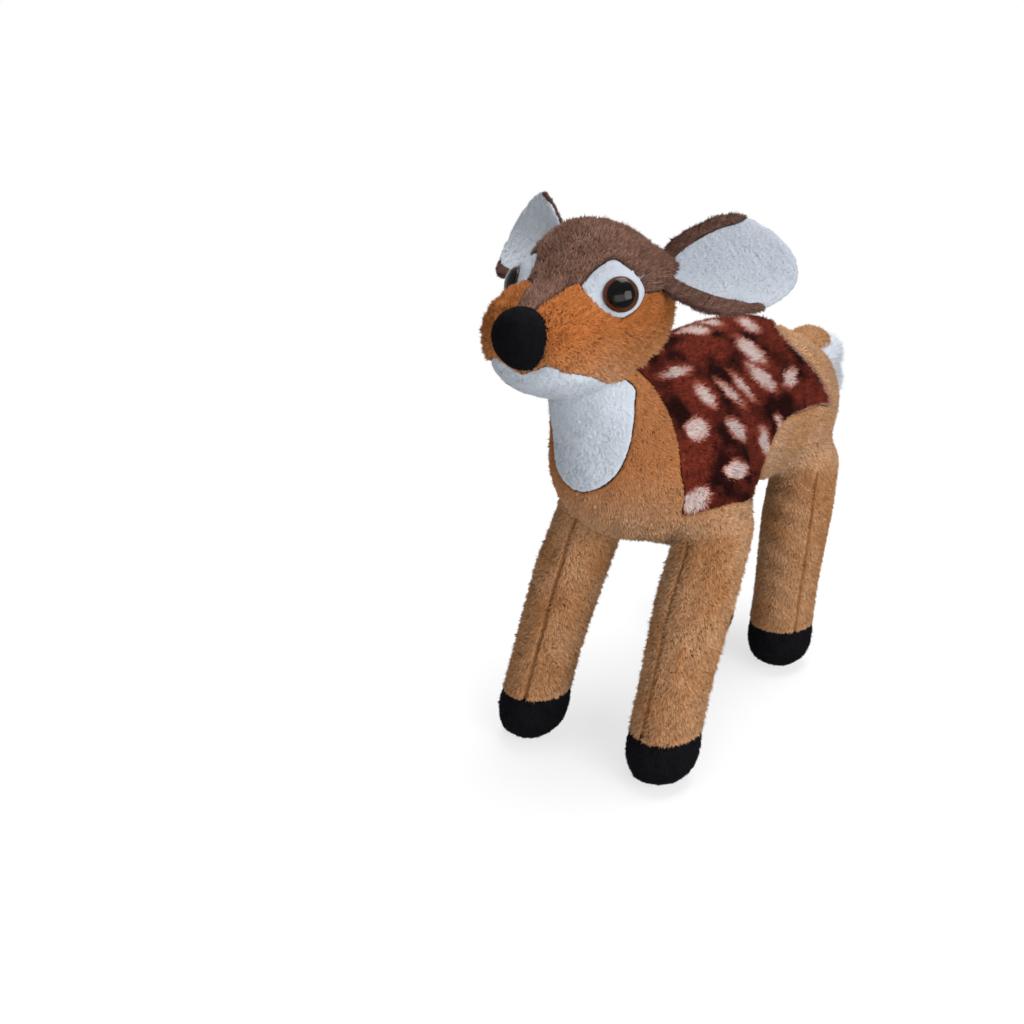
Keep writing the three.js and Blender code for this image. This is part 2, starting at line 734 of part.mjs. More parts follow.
// The room in the head for the neck, round about the turning axis, and clear of the back.
function neckRoom() {
  const { sides: around, rings } = divisions.neckRoom;
  const facets = Math.cos(Math.PI / around) * Math.cos(Math.PI / (4 * rings));
  const ball = (neckTopRadius + neckGap) / facets;
  const arc = Array.from({ length: rings + 1 }, (_, i) => {
    const polar = (i * Math.PI) / (2 * rings);
    return [ball * Math.sin(polar), ball * Math.cos(polar)];
  });
  const drop = neckBaseDrop * headUndercutDropShare;
  const pairs = [...arc, [neckBaseWidth / 2, -drop], [0, -drop]];
  const round = turnedProfile(pairs.reverse(), around);
  round.translate(neckForm.pivot.x, neckForm.pivot.y, neckForm.pivot.z);
  const back = new THREE.BoxGeometry(2 * headWidth, headLength, headHeight);
  const backTop = torsoZ(headUndercutShare);
  back.translate(0, -neckPivotForward + headLength / 2, backTop - headHeight / 2);
  return solidOf(round).add(solidOf(back));
}

// The fawn is a tree of groups, one for each part that moves by itself.
const fawn = new THREE.Group();

function addGroup(parent, frame) {
  const group = new THREE.Group();
  parent.updateWorldMatrix(true, false);
  const local = parent.matrixWorld.clone().invert().multiply(frame);
  local.decompose(group.position, group.quaternion, group.scale);
  parent.add(group);
  return group;
}

// Hangs a piece on a group, with its solid already in the group's own frame.
function addPiece(group, name, solid, finish) {
  const mesh = new THREE.Mesh(geometryOf(solid), new THREE.MeshStandardMaterial(finishes[finish]));
  mesh.name = name;
  group.add(mesh);
}

// Brings a solid from the fawn's frame into the frame of the group that carries it.
function inFrameOf(group, solid) {
  group.updateWorldMatrix(true, false);
  return solid.transform(group.matrixWorld.clone().invert().toArray());
}

function frameAt(point) {
  return new THREE.Matrix4().setPosition(point);
}

// The torso's cover and panels are one shell of cloth, parted at the seams, over its stuffing.
function addTorso() {
  const outer = torsoSolid(0, divisions.torso, divisions.neck);
  const inner = torsoSolid(clothThickness, coarse, coarse);
  const core = torsoSolid(clothThickness + seamGap, coarse, coarse);
  const tailRoom = swingRoom(tailRootRadius + swingGap, tailRootRadius * 2, tailSwingDegrees);
  const rooms = [...corners.map(legRoom), solidOf(tailRoom.applyMatrix4(tailFrame))];
  const room = rooms.reduce((sum, one) => sum.add(one));
  const shell = outer.subtract(inner).subtract(room);
  const cover = shell.subtract(saddleRoom(seamGap)).subtract(bibRoom(seamGap));
  addPiece(fawn, 'torso_cover', cover, 'tan');
  addPiece(fawn, 'saddle_panel', shell.intersect(saddleRoom(0)), 'saddle');
  addPiece(fawn, 'bib_panel', shell.intersect(bibRoom(0)), 'white');
  addPiece(fawn, 'torso_stuffing', core.subtract(room), 'stuffing');
}

// One leg: its cover, hoof and sole are one shell, parted at two level seams, over its stuffing.
function addLeg(corner) {
  const form = legForm(corner);
  const group = addGroup(fawn, frameAt(form.pivot));
  const outer = solidOf(hangingForm(form, divisions.leg, 0)).intersect(level(0, headTop));
  const inner = solidOf(hangingForm(form, divisions.limbInside, clothThickness));
  const core = solidOf(hangingForm(form, divisions.limbInside, clothThickness + seamGap));
  const shell = outer.subtract(inner);
  const parts = [
    [`leg_cover_${corner.name}`, shell.intersect(level(hoofHeight, headTop)), 'tan'],
    [`hoof_${corner.name}`, shell.intersect(level(soleHeight, hoofHeight - seamGap)), 'black'],
    [`sole_${corner.name}`, shell.intersect(level(0, soleHeight - seamGap)), 'black'],
    [`leg_stuffing_${corner.name}`, core, 'stuffing'],
  ];
  parts.forEach(([name, solid, finish]) => addPiece(group, name, inFrameOf(group, solid), finish));
}

// The tail is parted along its middle into a tan top and a white underside.
function addTail() {
  const group = addGroup(fawn, tailFrame);
  const top = solidOf(hangingForm(tailForm, divisions.tail, tailTopDrawnIn));
  const underside = solidOf(hangingForm(tailForm, divisions.tail, 0));
  const reach = tailLength + tailRootRadius;
  const half = new THREE.BoxGeometry(2 * reach, reach, 2 * reach);
  const above = half.clone().translate(0, reach / 2 + seamGap, 0);
  const below = half.clone().translate(0, -reach / 2, 0);
  addPiece(group, 'tail_top', top.intersect(solidOf(above)), 'tan');
  addPiece(group, 'tail_underside', underside.intersect(solidOf(below)), 'white');
}

// The head's panels are one shell of cloth, parted at the seams, over its stuffing.
function addHead() {
  const group = addGroup(fawn, frameAt(neckForm.pivot));
  const outer = solidOf(lyingForm(headForm, divisions.head, 0));
  const inner = solidOf(lyingForm(headForm, coarse, clothThickness));
  const core = solidOf(lyingForm(headForm, coarse, clothThickness + seamGap));
  const room = neckRoom()
    .add(earRoom(earFrame('left')))
    .add(earRoom(earFrame('right')))
    .add(noseSolid(seamGap))
    .add(eyeRoom('left'))
    .add(eyeRoom('right'))
    .add(washerRoom('left'))
    .add(washerRoom('right'));
  const shell = outer.subtract(inner).subtract(room);
  const plain = shell.subtract(eyePatchRoom('left', seamGap)).subtract(eyePatchRoom('right', seamGap));
  const notCrown = plain.subtract(crownRoom(seamGap));
  const cheeks = notCrown.subtract(chinRoom(seamGap));
  const parts = [
    ['crown_panel', plain.intersect(crownRoom(0)), 'brown'],
    ['chin_panel', notCrown.intersect(chinRoom(0)), 'white'],
    ['cheek_left', cheeks.intersect(halfSpace('left')), 'tan'],
    ['cheek_right', cheeks.intersect(halfSpace('right')), 'tan'],
    ['eye_patch_left', shell.intersect(eyePatchRoom('left', 0)), 'white'],
    ['eye_patch_right', shell.intersect(eyePatchRoom('right', 0)), 'white'],
    ['nose', noseSolid(0), 'black'],
    ['head_stuffing', core.subtract(room), 'stuffing'],
  ];
  parts.forEach(([name, solid, finish]) => addPiece(group, name, inFrameOf(group, solid), finish));
  Object.keys(sides).forEach((sideName) => addEye(group, sideName));
  Object.keys(sides).forEach((sideName) => addEar(group, sideName));
}

// All space on one side of the middle plane, short of it by half a seam.
function halfSpace(sideName) {
  const reach = headLength;
  const box = new THREE.BoxGeometry(reach, 2 * reach, 2 * reach);
  box.translate(sides[sideName] * ((reach + seamGap) / 2), headForm.rear, headForm.bottom);
  return solidOf(box);
}

// One ear: a brown back with its root, and a white lining on the side it faces.
function addEar(headGroup, sideName) {
  const group = addGroup(headGroup, earFrame(sideName));
  addPiece(group, `ear_back_${sideName}`, earBackSolid(), 'brown');
  addPiece(group, `ear_lining_${sideName}`, earLiningSolid(), 'white');
}

// The room in the cloth and stuffing for the back of an eye and its shank.
function eyeRoom(sideName) {
  const seat = eyeDiameter / 2 + seamGap;
  const hole = shankDiameter / 2 + seamGap;
  const pairs = [
    [0, -shankLength - seamGap], [hole, -shankLength - seamGap], [hole, -seamGap],
    [seat, -seamGap], [seat, eyeDomeHeight], [0, eyeDomeHeight],
  ];
  return solidOf(turnedProfile(pairs, divisions.eye).applyMatrix4(eyeFrame(sideName)));
}

function washerRoom(sideName) {
  const radius = washerDiameter / 2 + seamGap;
  const low = -washerDepth - washerThickness - seamGap;
  const high = seamGap - washerDepth;
  const pairs = [[0, low], [radius, low], [radius, high], [0, high]];
  return solidOf(turnedProfile(pairs, divisions.eye).applyMatrix4(eyeFrame(sideName)));
}

// One eye: a black back with its pupil and shank, a brown ring, a clear dome and a washer inside.
function addEye(headGroup, sideName) {
  const group = addGroup(headGroup, eyeFrame(sideName));
  const radius = eyeDiameter / 2;
  const pupil = pupilDiameter / 2;
  const shank = shankDiameter / 2;
  const irisLow = eyeBackThickness + seamGap;
  const irisTop = irisLow + irisThickness;
  const domeLow = irisTop + seamGap;
  const back = [
    [0, -shankLength], [shank, -shankLength], [shank, 0], [radius, 0],
    [radius, eyeBackThickness], [pupil, eyeBackThickness], [pupil, irisTop], [0, irisTop],
  ];
  const iris = [
    [pupil + seamGap, irisLow], [radius, irisLow], [radius, irisTop], [pupil + seamGap, irisTop],
    [pupil + seamGap, irisLow],
  ];
  const arc = [0, 0.2, 0.4, 0.6, 0.8, 1].map((share) => {
    const turn = (share * Math.PI) / 2;
    return [radius * Math.cos(turn), domeLow + (eyeDomeHeight - domeLow) * Math.sin(turn)];
  });
  arc[arc.length - 1][0] = 0;
  const hole = shank + seamGap;
  const washerTop = -washerDepth;
  const washerLow = washerTop - washerThickness;
  const washer = [
    [hole, washerLow], [washerDiameter / 2, washerLow], [washerDiameter / 2, washerTop],
    [hole, washerTop], [hole, washerLow],
  ];
  const pieces = { back, iris, dome: [[0, domeLow], ...arc], washer };
  const looks = { back: 'plastic', iris: 'iris', dome: 'clear', washer: 'plastic' };
  Object.entries(pieces).forEach(([name, pairs]) => {
    addPiece(group, `eye_${name}_${sideName}`, solidOf(turnedProfile(pairs, divisions.eye)), looks[name]);
  });
}

addTorso();
corners.forEach(addLeg);
addTail();
addHead();

// The origin is on the ground under the middle of the fawn.
const middle = new THREE.Box3().setFromObject(fawn, true).getCenter(new THREE.Vector3());
fawn.position.set(-middle.x, -middle.y, 0);

export default fawn;
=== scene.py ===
import json
import math

import bmesh
import bpy
import numpy as np
from mathutils import Matrix, Vector


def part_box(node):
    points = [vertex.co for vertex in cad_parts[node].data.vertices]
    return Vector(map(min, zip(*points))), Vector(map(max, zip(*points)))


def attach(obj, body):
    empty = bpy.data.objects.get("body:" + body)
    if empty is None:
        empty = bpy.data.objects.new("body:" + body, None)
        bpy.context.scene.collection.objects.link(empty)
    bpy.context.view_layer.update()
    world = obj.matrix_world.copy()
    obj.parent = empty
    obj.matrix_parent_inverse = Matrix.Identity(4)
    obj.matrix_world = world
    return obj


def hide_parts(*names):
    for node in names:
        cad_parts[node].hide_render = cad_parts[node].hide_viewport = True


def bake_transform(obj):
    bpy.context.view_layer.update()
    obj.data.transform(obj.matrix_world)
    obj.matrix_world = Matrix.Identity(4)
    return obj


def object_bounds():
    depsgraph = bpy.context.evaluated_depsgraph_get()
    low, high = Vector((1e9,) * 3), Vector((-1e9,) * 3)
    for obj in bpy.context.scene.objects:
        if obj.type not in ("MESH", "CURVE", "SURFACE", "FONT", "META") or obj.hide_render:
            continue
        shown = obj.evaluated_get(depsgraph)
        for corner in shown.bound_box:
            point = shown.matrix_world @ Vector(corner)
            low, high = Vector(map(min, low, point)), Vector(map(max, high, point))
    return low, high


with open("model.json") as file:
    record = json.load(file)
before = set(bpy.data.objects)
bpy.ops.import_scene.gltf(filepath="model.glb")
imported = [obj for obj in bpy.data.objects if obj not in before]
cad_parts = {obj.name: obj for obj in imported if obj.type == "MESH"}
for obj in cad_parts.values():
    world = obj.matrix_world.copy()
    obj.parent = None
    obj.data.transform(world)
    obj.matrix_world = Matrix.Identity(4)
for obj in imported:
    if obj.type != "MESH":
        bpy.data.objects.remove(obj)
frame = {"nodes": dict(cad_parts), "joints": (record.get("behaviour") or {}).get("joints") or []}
cad_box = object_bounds()

# The camera stands to the front left of the fawn, a little above its head.
# Its lens, place and tilt follow the photograph's own perspective.
PICTURE_SIDE = 1024
FOCAL_PIXELS = 1129
MIDDLE_PIXEL = (657, 471)
SENSOR_MM = 36
CAMERA_FROM_NECK = Vector((0.3371, -0.4094, 0.1313))
camera_azimuth = math.radians(36.8)
camera_elevation = math.radians(19.6)
camera_roll = math.radians(-1.82)


def pivot_of(joint):
    return Vector(next(j["pos_m"] for j in frame["joints"] if j["name"] == joint))


neck_pivot = pivot_of("head_turn")
camera_place = neck_pivot + CAMERA_FROM_NECK

forward = Vector((
    -math.sin(camera_azimuth) * math.cos(camera_elevation),
    math.cos(camera_azimuth) * math.cos(camera_elevation),
    -math.sin(camera_elevation),
))
level_right = Vector((math.cos(camera_azimuth), math.sin(camera_azimuth), 0))
level_up = level_right.cross(forward)
right = level_right * math.cos(camera_roll) + level_up * math.sin(camera_roll)
up = level_up * math.cos(camera_roll) - level_right * math.sin(camera_roll)

camera = bpy.data.objects.new("camera", bpy.data.cameras.new("camera"))
bpy.context.scene.collection.objects.link(camera)
bpy.context.scene.camera = camera
camera.matrix_world = Matrix((
    (right.x, up.x, -forward.x, camera_place.x),
    (right.y, up.y, -forward.y, camera_place.y),
    (right.z, up.z, -forward.z, camera_place.z),
    (0, 0, 0, 1),
))
camera.data.sensor_width = SENSOR_MM
camera.data.lens = FOCAL_PIXELS / PICTURE_SIDE * SENSOR_MM
camera.data.shift_x = (PICTURE_SIDE / 2 - MIDDLE_PIXEL[0]) / PICTURE_SIDE
camera.data.shift_y = (MIDDLE_PIXEL[1] - PICTURE_SIDE / 2) / PICTURE_SIDE
camera.data.clip_start = 0.01
camera.data.clip_end = 50


# The studio: a wide pale floor, a white surround, and three soft lamps.
# The key lamp is low on the camera's right, and the others fill the shade.
SURROUND_TINT = (0.93, 0.96, 1, 1)
SURROUND_LIGHT = 0.52


# The surround lights the fawn softly, and shows as white
def world_material():
    world = bpy.data.worlds.new("surround")
    bpy.context.scene.world = world
    world.use_nodes = True
    tree = world.node_tree
    shown = tree.nodes["Background"]
    shown.inputs["Color"].default_value = (1, 1, 1, 1)
    shown.inputs["Strength"].default_value = 1.0
    lighting = tree.nodes.new("ShaderNodeBackground")
    lighting.inputs["Color"].default_value = SURROUND_TINT
    lighting.inputs["Strength"].default_value = SURROUND_LIGHT
    mix = tree.nodes.new("ShaderNodeMixShader")
    tree.links.new(seen_directly(tree), mix.inputs[0])
    tree.links.new(lighting.outputs[0], mix.inputs[1])
    tree.links.new(shown.outputs[0], mix.inputs[2])
    tree.links.new(mix.outputs[0], tree.nodes["World Output"].inputs["Surface"])


# 1 for what the camera sees, also in a mirror or through glass
def seen_directly(tree):
    path = tree.nodes.new("ShaderNodeLightPath")
    total = path.outputs["Is Camera Ray"]
    for name in ("Is Glossy Ray", "Is Transmission Ray"):
        join = tree.nodes.new("ShaderNodeMath")
        join.operation = "MAXIMUM"
        tree.links.new(total, join.inputs[0])
        tree.links.new(path.outputs[name], join.inputs[1])
        total = join.outputs[0]
    return total


FLOOR_SIDE = 12
FLOOR_GLOW = 0.66
FLOOR_FADES_FROM = 0.25
FLOOR_FADES_TO = 0.75


# A plain floor that glows a little near the fawn, where its shadow falls,
# and is white farther off
def floor_material():
    material = bpy.data.materials.new("pale_floor")
    material.use_nodes = True
    tree = material.node_tree
    plain = tree.nodes["Principled BSDF"]
    plain.inputs["Base Color"].default_value = (0.8, 0.8, 0.8, 1)
    plain.inputs["Roughness"].default_value = 1
    glow = tree.nodes.new("ShaderNodeEmission")
    glow.inputs["Color"].default_value = (1, 1, 1, 1)
    place = tree.nodes.new("ShaderNodeTexCoord")
    away = tree.nodes.new("ShaderNodeVectorMath")
    away.operation = "LENGTH"
    tree.links.new(place.outputs["Object"], away.inputs[0])
    share = tree.nodes.new("ShaderNodeMapRange")
    share.interpolation_type = "SMOOTHSTEP"
    share.inputs["From Min"].default_value = FLOOR_FADES_FROM
    share.inputs["From Max"].default_value = FLOOR_FADES_TO
    share.inputs["To Min"].default_value = FLOOR_GLOW
    tree.links.new(away.outputs["Value"], share.inputs["Value"])
    half = tree.nodes.new("ShaderNodeMixShader")
    tree.links.new(share.outputs["Result"], half.inputs[0])
    tree.links.new(plain.outputs[0], half.inputs[1])
    tree.links.new(glow.outputs[0], half.inputs[2])
    mix = tree.nodes.new("ShaderNodeMixShader")
    tree.links.new(seen_directly(tree), mix.inputs[0])
    tree.links.new(plain.outputs[0], mix.inputs[1])
    tree.links.new(half.outputs[0], mix.inputs[2])
    tree.links.new(mix.outputs[0], tree.nodes["Material Output"].inputs["Surface"])
    return material


def add_lamp(name, place, aim, size, watts):
    lamp = bpy.data.objects.new(name, bpy.data.lights.new(name, "AREA"))
    lamp.data.shape = "SQUARE"
    lamp.data.size = size
    lamp.data.energy = watts
    lamp.location = place
    lamp.rotation_mode = "QUATERNION"
    lamp.rotation_quaternion = (Vector(aim) - Vector(place)).to_track_quat("-Z", "Y")
    bpy.context.scene.collection.objects.link(lamp)


floor_bm = bmesh.new()
bmesh.ops.create_grid(floor_bm, x_segments=1, y_segments=1, size=FLOOR_SIDE / 2)
floor_mesh = bpy.data.meshes.new("floor")
floor_bm.to_mesh(floor_mesh)
floor_bm.free()
floor = bpy.data.objects.new("floor", floor_mesh)
floor.data.materials.append(floor_material())
bpy.context.scene.collection.objects.link(floor)

# Each lamp by its place, the side of its square and its watts
LAMPS = {
    "key_lamp": ((1.3, -0.45, 0.6), 0.8, 20),
    "fill_lamp": ((0.85, -1.3, 0.3), 1.0, 12),
    "top_lamp": ((0.1, 0.3, 1.6), 1.0, 25),
}
world_material()
fawn_middle = (cad_box[0] + cad_box[1]) / 2
for lamp_name, (lamp_place, lamp_side, lamp_watts) in LAMPS.items():
    add_lamp(lamp_name, lamp_place, fawn_middle, lamp_side, lamp_watts)
bpy.context.scene.view_settings.view_transform = "Standard"


# Torso: a tan plush cover, a printed saddle over the back and a white bib on the throat.
# The panels are cut from short-pile cloth, sewn edge to edge and stuffed firmly.
GRAIN = 0.0039
FINE_LEVELS = 2
GRAIN_WANDERS = 0.16
LET_OUT = 0.0008
HEM_DEPTH = 0.003
random = np.random.default_rng(7)


def object_of(name, bm):
    mesh = bpy.data.meshes.new(name)
    bm.to_mesh(mesh)
    bm.free()
    made = bpy.data.objects.new(name, mesh)
    bpy.context.scene.collection.objects.link(made)
    return made


def places(mesh):
    flat = np.empty(len(mesh.vertices) * 3, np.float32)
    mesh.vertices.foreach_get("co", flat)
    return flat.reshape(-1, 3).astype(float)


def facings(mesh):
    flat = np.empty(len(mesh.vertices) * 3, np.float32)
    mesh.vertex_normals.foreach_get("vector", flat)
    return flat.reshape(-1, 3).astype(float)


def put_places(mesh, points):
    mesh.vertices.foreach_set("co", points.astype(np.float32).ravel())
    mesh.update()


def with_modifier(made, kind, **settings):
    modifier = made.modifiers.new(kind.title(), kind)
    for key, value in settings.items():
        setattr(modifier, key, value)
    graph = bpy.context.evaluated_depsgraph_get()
    mesh = bpy.data.meshes.new_from_object(made.evaluated_get(graph))
    old = made.data
    made.modifiers.clear()
    made.data = mesh
    bpy.data.meshes.remove(old)
    return made


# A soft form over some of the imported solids: joined, rounded off and finely divided
def soft_form(name, nodes, fillers=(), grain=GRAIN, rounds=10):
    bm = bmesh.new()
    for node in nodes:
        bm.from_mesh(frame["nodes"][node].data)
    bmesh.ops.remove_doubles(bm, verts=bm.verts, dist=1e-6)
    for place in fillers:
        bmesh.ops.create_uvsphere(bm, u_segments=24, v_segments=16, radius=1, matrix=place)
    return rounded(name, bm, grain, rounds)


# The form is let out again by what the rounding took in.
def rounded(name, bm, grain, rounds, levels=FINE_LEVELS, let_out=LET_OUT):
    made = with_modifier(object_of(name, bm), "REMESH", mode="VOXEL", voxel_size=grain)
    bm = bmesh.new()
    bm.from_mesh(made.data)
    for _ in range(rounds):
        bmesh.ops.smooth_vert(
            bm, verts=bm.verts, factor=0.5, use_axis_x=True, use_axis_y=True, use_axis_z=True
        )
    bm.to_mesh(made.data)
    bm.free()
    with_modifier(made, "SUBSURF", levels=levels, render_levels=levels)
    points = places(made.data)
    step = grain / 2 ** levels
    points += facings(made.data) * let_out + random.normal(0, step * GRAIN_WANDERS, points.shape)
    put_places(made.data, points)
    return made


def ball_at(centre, radius):
    return Matrix.Translation(centre) @ Matrix.Diagonal((radius, radius, radius, 1))


MIDDLE_X = neck_pivot.x


# Where points show in the picture, and how many metres a pixel spans there.
# The fawn is the same on both sides, so a point on its right is read from its left.
def in_picture(points):
    mirrored = points.copy()
    mirrored[:, 0] = MIDDLE_X + np.abs(points[:, 0] - MIDDLE_X)
    offset = mirrored - np.array(camera_place)
    depth = offset @ np.array(forward)
    x = MIDDLE_PIXEL[0] + FOCAL_PIXELS * (offset @ np.array(right)) / depth
    y = MIDDLE_PIXEL[1] - FOCAL_PIXELS * (offset @ np.array(up)) / depth
    return np.stack([x, y], axis=1), depth / FOCAL_PIXELS


# A smooth closed line through pixels of the picture
def smooth_line(pixels, steps=6):
    corners = np.array(pixels, float)
    before, after = np.roll(corners, 1, axis=0), np.roll(corners, -1, axis=0)
    beyond = np.roll(corners, -2, axis=0)
    line = []
    for share in np.arange(steps) / steps:
        line.append(0.5 * (
            2 * corners + (after - before) * share
            + (2 * before - 5 * corners + 4 * after - beyond) * share ** 2
            + (3 * corners - before - 3 * after + beyond) * share ** 3
        ))
    return np.stack(line, axis=1).reshape(-1, 2)


# How far points are inside a closed line; outside is negative
def inside_line(points, line):
    nearest = np.full(len(points), np.inf)
    inside = np.zeros(len(points), bool)
    for start, end in zip(line, np.roll(line, -1, axis=0)):
        along = end - start
        offset = points - start
        share = np.clip(offset @ along / (along @ along), 0, 1)
        nearest = np.minimum(nearest, np.linalg.norm(offset - share[:, None] * along, axis=1))
        spans = (start[1] > points[:, 1]) != (end[1] > points[:, 1])
        rise = along[1] if along[1] else 1e-9
        inside ^= spans & (points[:, 0] < start[0] + (points[:, 1] - start[1]) * along[0] / rise)
    return np.where(inside, nearest, -nearest)


def seam_field(pixels):
    line = smooth_line(pixels)

    def field(points):
        flat, scale = in_picture(points)
        return inside_line(flat, line) * scale
    return field


def face_middles(mesh):
    flat = np.empty(len(mesh.polygons) * 3, np.float32)
    mesh.polygons.foreach_get("center", flat)
    return flat.reshape(-1, 3).astype(float)


SLOPE_PROBE = 1e-4
LEAST_SLOPE = 0.2


# Moves the points between the faces on one side of a seam and those on the other onto it,
# so that the cut follows the seam smoothly
def snap_to_seam(mesh, field):
    corners = np.empty(len(mesh.loops), np.int32)
    mesh.loops.foreach_get("vertex_index", corners)
    sizes = np.empty(len(mesh.polygons), np.int32)
    mesh.polygons.foreach_get("loop_total", sizes)
    side = np.repeat(field(face_middles(mesh)) > 0, sizes)
    touching = np.bincount(corners, minlength=len(mesh.vertices))
    touching_inside = np.bincount(corners, weights=side, minlength=len(mesh.vertices))
    near = (touching_inside > 0) & (touching_inside < touching)
    points, normal = places(mesh), facings(mesh)[near]
    spot = points[near]
    for _ in range(2):
        slope = np.stack([
            (field(spot + probe) - field(spot - probe)) / (2 * SLOPE_PROBE)
            for probe in SLOPE_PROBE * np.eye(3)
        ], axis=1)
        slope -= normal * np.sum(slope * normal, axis=1, keepdims=True)
        size = np.maximum(np.sum(slope ** 2, axis=1, keepdims=True), LEAST_SLOPE)
        spot = spot - slope * field(spot)[:, None] / size
    points[near] = spot
    put_places(mesh, points)


WAVE_SIZES = (0.7, 1.4)


# Smooth random waves of about one size, for locks of pile that lean alike
def waves(points, size, count=5):
    total = np.zeros((len(points), 3))
    for _ in range(count):
        way = random.normal(0, 1, 3)
        way *= 2 * math.pi / (size * np.linalg.norm(way) * random.uniform(*WAVE_SIZES))
        wave = np.sin(points @ way + random.uniform(0, 2 * math.pi))
        total += wave[:, None] * random.normal(0, 1, 3)
    return total / math.sqrt(count)


def unwrap(made):
    bpy.context.view_layer.objects.active = made
    made.data.uv_layers.new(name="OFBake")
    bpy.ops.object.mode_set(mode="EDIT")
    bpy.ops.mesh.select_all(action="SELECT")
    bpy.ops.uv.smart_project(angle_limit=math.radians(60), island_margin=0.004)
    bpy.ops.object.mode_set(mode="OBJECT")


PILE_LEAN = 48


# Cuts one panel out of a form, turns its edge in, and raises a tuft on each face but the hem's.
# Nap gives the way that the pile leans, and grooves how deep a point lies in a seam.
def plush_piece(
    name, form, keep, nap, grooves, length, lean=PILE_LEAN, attributes=(), hem=HEM_DEPTH,
):
    bm = bmesh.new()
    bm.from_mesh(form.data)
    bm.faces.ensure_lookup_table()
    doomed = [face for face, kept in zip(bm.faces, keep) if not kept]
    bmesh.ops.delete(bm, geom=doomed, context="FACES")
    rim = [edge for edge in bm.edges if edge.is_boundary]
    turned = bmesh.ops.extrude_edge_only(bm, edges=rim)["geom"]
    for vertex in (part for part in turned if isinstance(part, bmesh.types.BMVert)):
        fold = min(vertex.link_edges, key=lambda edge: edge.calc_length())
        vertex.co -= fold.other_vert(vertex).normal * hem
    made = object_of(name, bm)
    unwrap(made)
    bm = bmesh.new()
    bm.from_mesh(made.data)
    skin = [face for face in bm.faces if not any(edge.is_boundary for edge in face.edges)]
    skin = bmesh.ops.triangulate(bm, faces=skin, quad_method="BEAUTY")["faces"]
    roots = len(bm.verts)
    bmesh.ops.poke(bm, faces=skin)
    bm.to_mesh(made.data)
    bm.free()
    raise_pile(made, roots, nap, grooves, length, lean, attributes)
    made.data.polygons.foreach_set("use_smooth", np.ones(len(made.data.polygons), bool))
    return made


# The pile leans alike in locks and a little less alike in clumps, and each tuft strays by itself.
# In a seam it is shorter and stands straighter.
LOCK_SIZE, LOCK_SWAY = 0.009, 0.3
CLUMP_SIZE, CLUMP_SWAY = 0.003, 0.16
TUFT_SWAY = 0.15
LEAN_VARIES = 5
HEIGHT_LOCK_SIZE, HEIGHT_VARIES = 0.0035, 0.25
TUFT_HEIGHTS = (0.75, 1.1)
TONE_VARIES, CLUMP_TONE_VARIES = 0.3, 0.2
SEAM_DEPTH = 0.0005
SEAM_SHORTENS = 0.6
SHORTEST_TUFT = 0.15
SEAM_STRAIGHTENS = 0.7


def raise_pile(made, roots, nap, grooves, length, lean, attributes):
    points, normals = places(made.data), facings(made.data)
    groove = grooves(points)
    extra = [(key, field(points)) for key, field in attributes]
    root, normal = points[roots:], normals[roots:]
    way = nap(root) + LOCK_SWAY * waves(root, LOCK_SIZE) + CLUMP_SWAY * waves(root, CLUMP_SIZE)
    way += random.normal(0, TUFT_SWAY, way.shape)
    way -= normal * np.sum(way * normal, axis=1, keepdims=True)
    way /= np.maximum(np.linalg.norm(way, axis=1, keepdims=True), 1e-9)
    angle = np.radians(lean + random.normal(0, LEAN_VARIES, len(root)))[:, None]
    lock = 1 + HEIGHT_VARIES * np.clip(waves(root, HEIGHT_LOCK_SIZE)[:, :1], -1.5, 1.5)
    tall = length * lock * random.uniform(*TUFT_HEIGHTS, (len(root), 1))
    tall *= np.maximum(1 - SEAM_SHORTENS * groove[roots:, None], SHORTEST_TUFT)
    points -= normals * (SEAM_DEPTH * groove)[:, None]
    angle *= 1 - SEAM_STRAIGHTENS * np.minimum(groove[roots:, None], 1)
    points[roots:] += tall * (np.cos(angle) * normal + np.sin(angle) * way)
    points[:, 2] = np.maximum(points[:, 2], 0)
    put_places(made.data, points)
    tip, tone = np.zeros(len(points)), np.full(len(points), 0.5)
    tip[roots:] = 1
    strays = random.normal(0, TONE_VARIES, len(root))
    clumps = CLUMP_TONE_VARIES * waves(root, CLUMP_SIZE)[:, 0]
    tone[roots:] = np.clip(0.5 + strays + clumps, 0, 1)
    for key, values in [("tip", tip), ("tone", tone), ("seam", groove), *extra]:
        layer = made.data.attributes.new(key, "FLOAT", "POINT")
        layer.data.foreach_set("value", np.asarray(values, np.float32))


SEAM_REACH = 0.0013


# How deep points lie in the seams, as a share of a common seam's depth
def groove_of(*fields, reach=SEAM_REACH, depth=1.0):
    def grooves(points):
        sunk = np.zeros(len(points))
        for field in fields:
            sunk = np.maximum(sunk, depth * np.exp(-(field(points) / reach) ** 2))
        return sunk
    return grooves


# A written colour in the linear values that a shader takes
def linear(code):
    parts = [int(code[i:i + 2], 16) / 255 for i in (1, 3, 5)]
    return tuple(p / 12.92 if p <= 0.04045 else ((p + 0.055) / 1.055) ** 2.4 for p in parts) + (1,)


NOISE_DETAIL = 2
PLUSH_ROUGHNESS = 0.95
PLUSH_GLOSS = 0.05


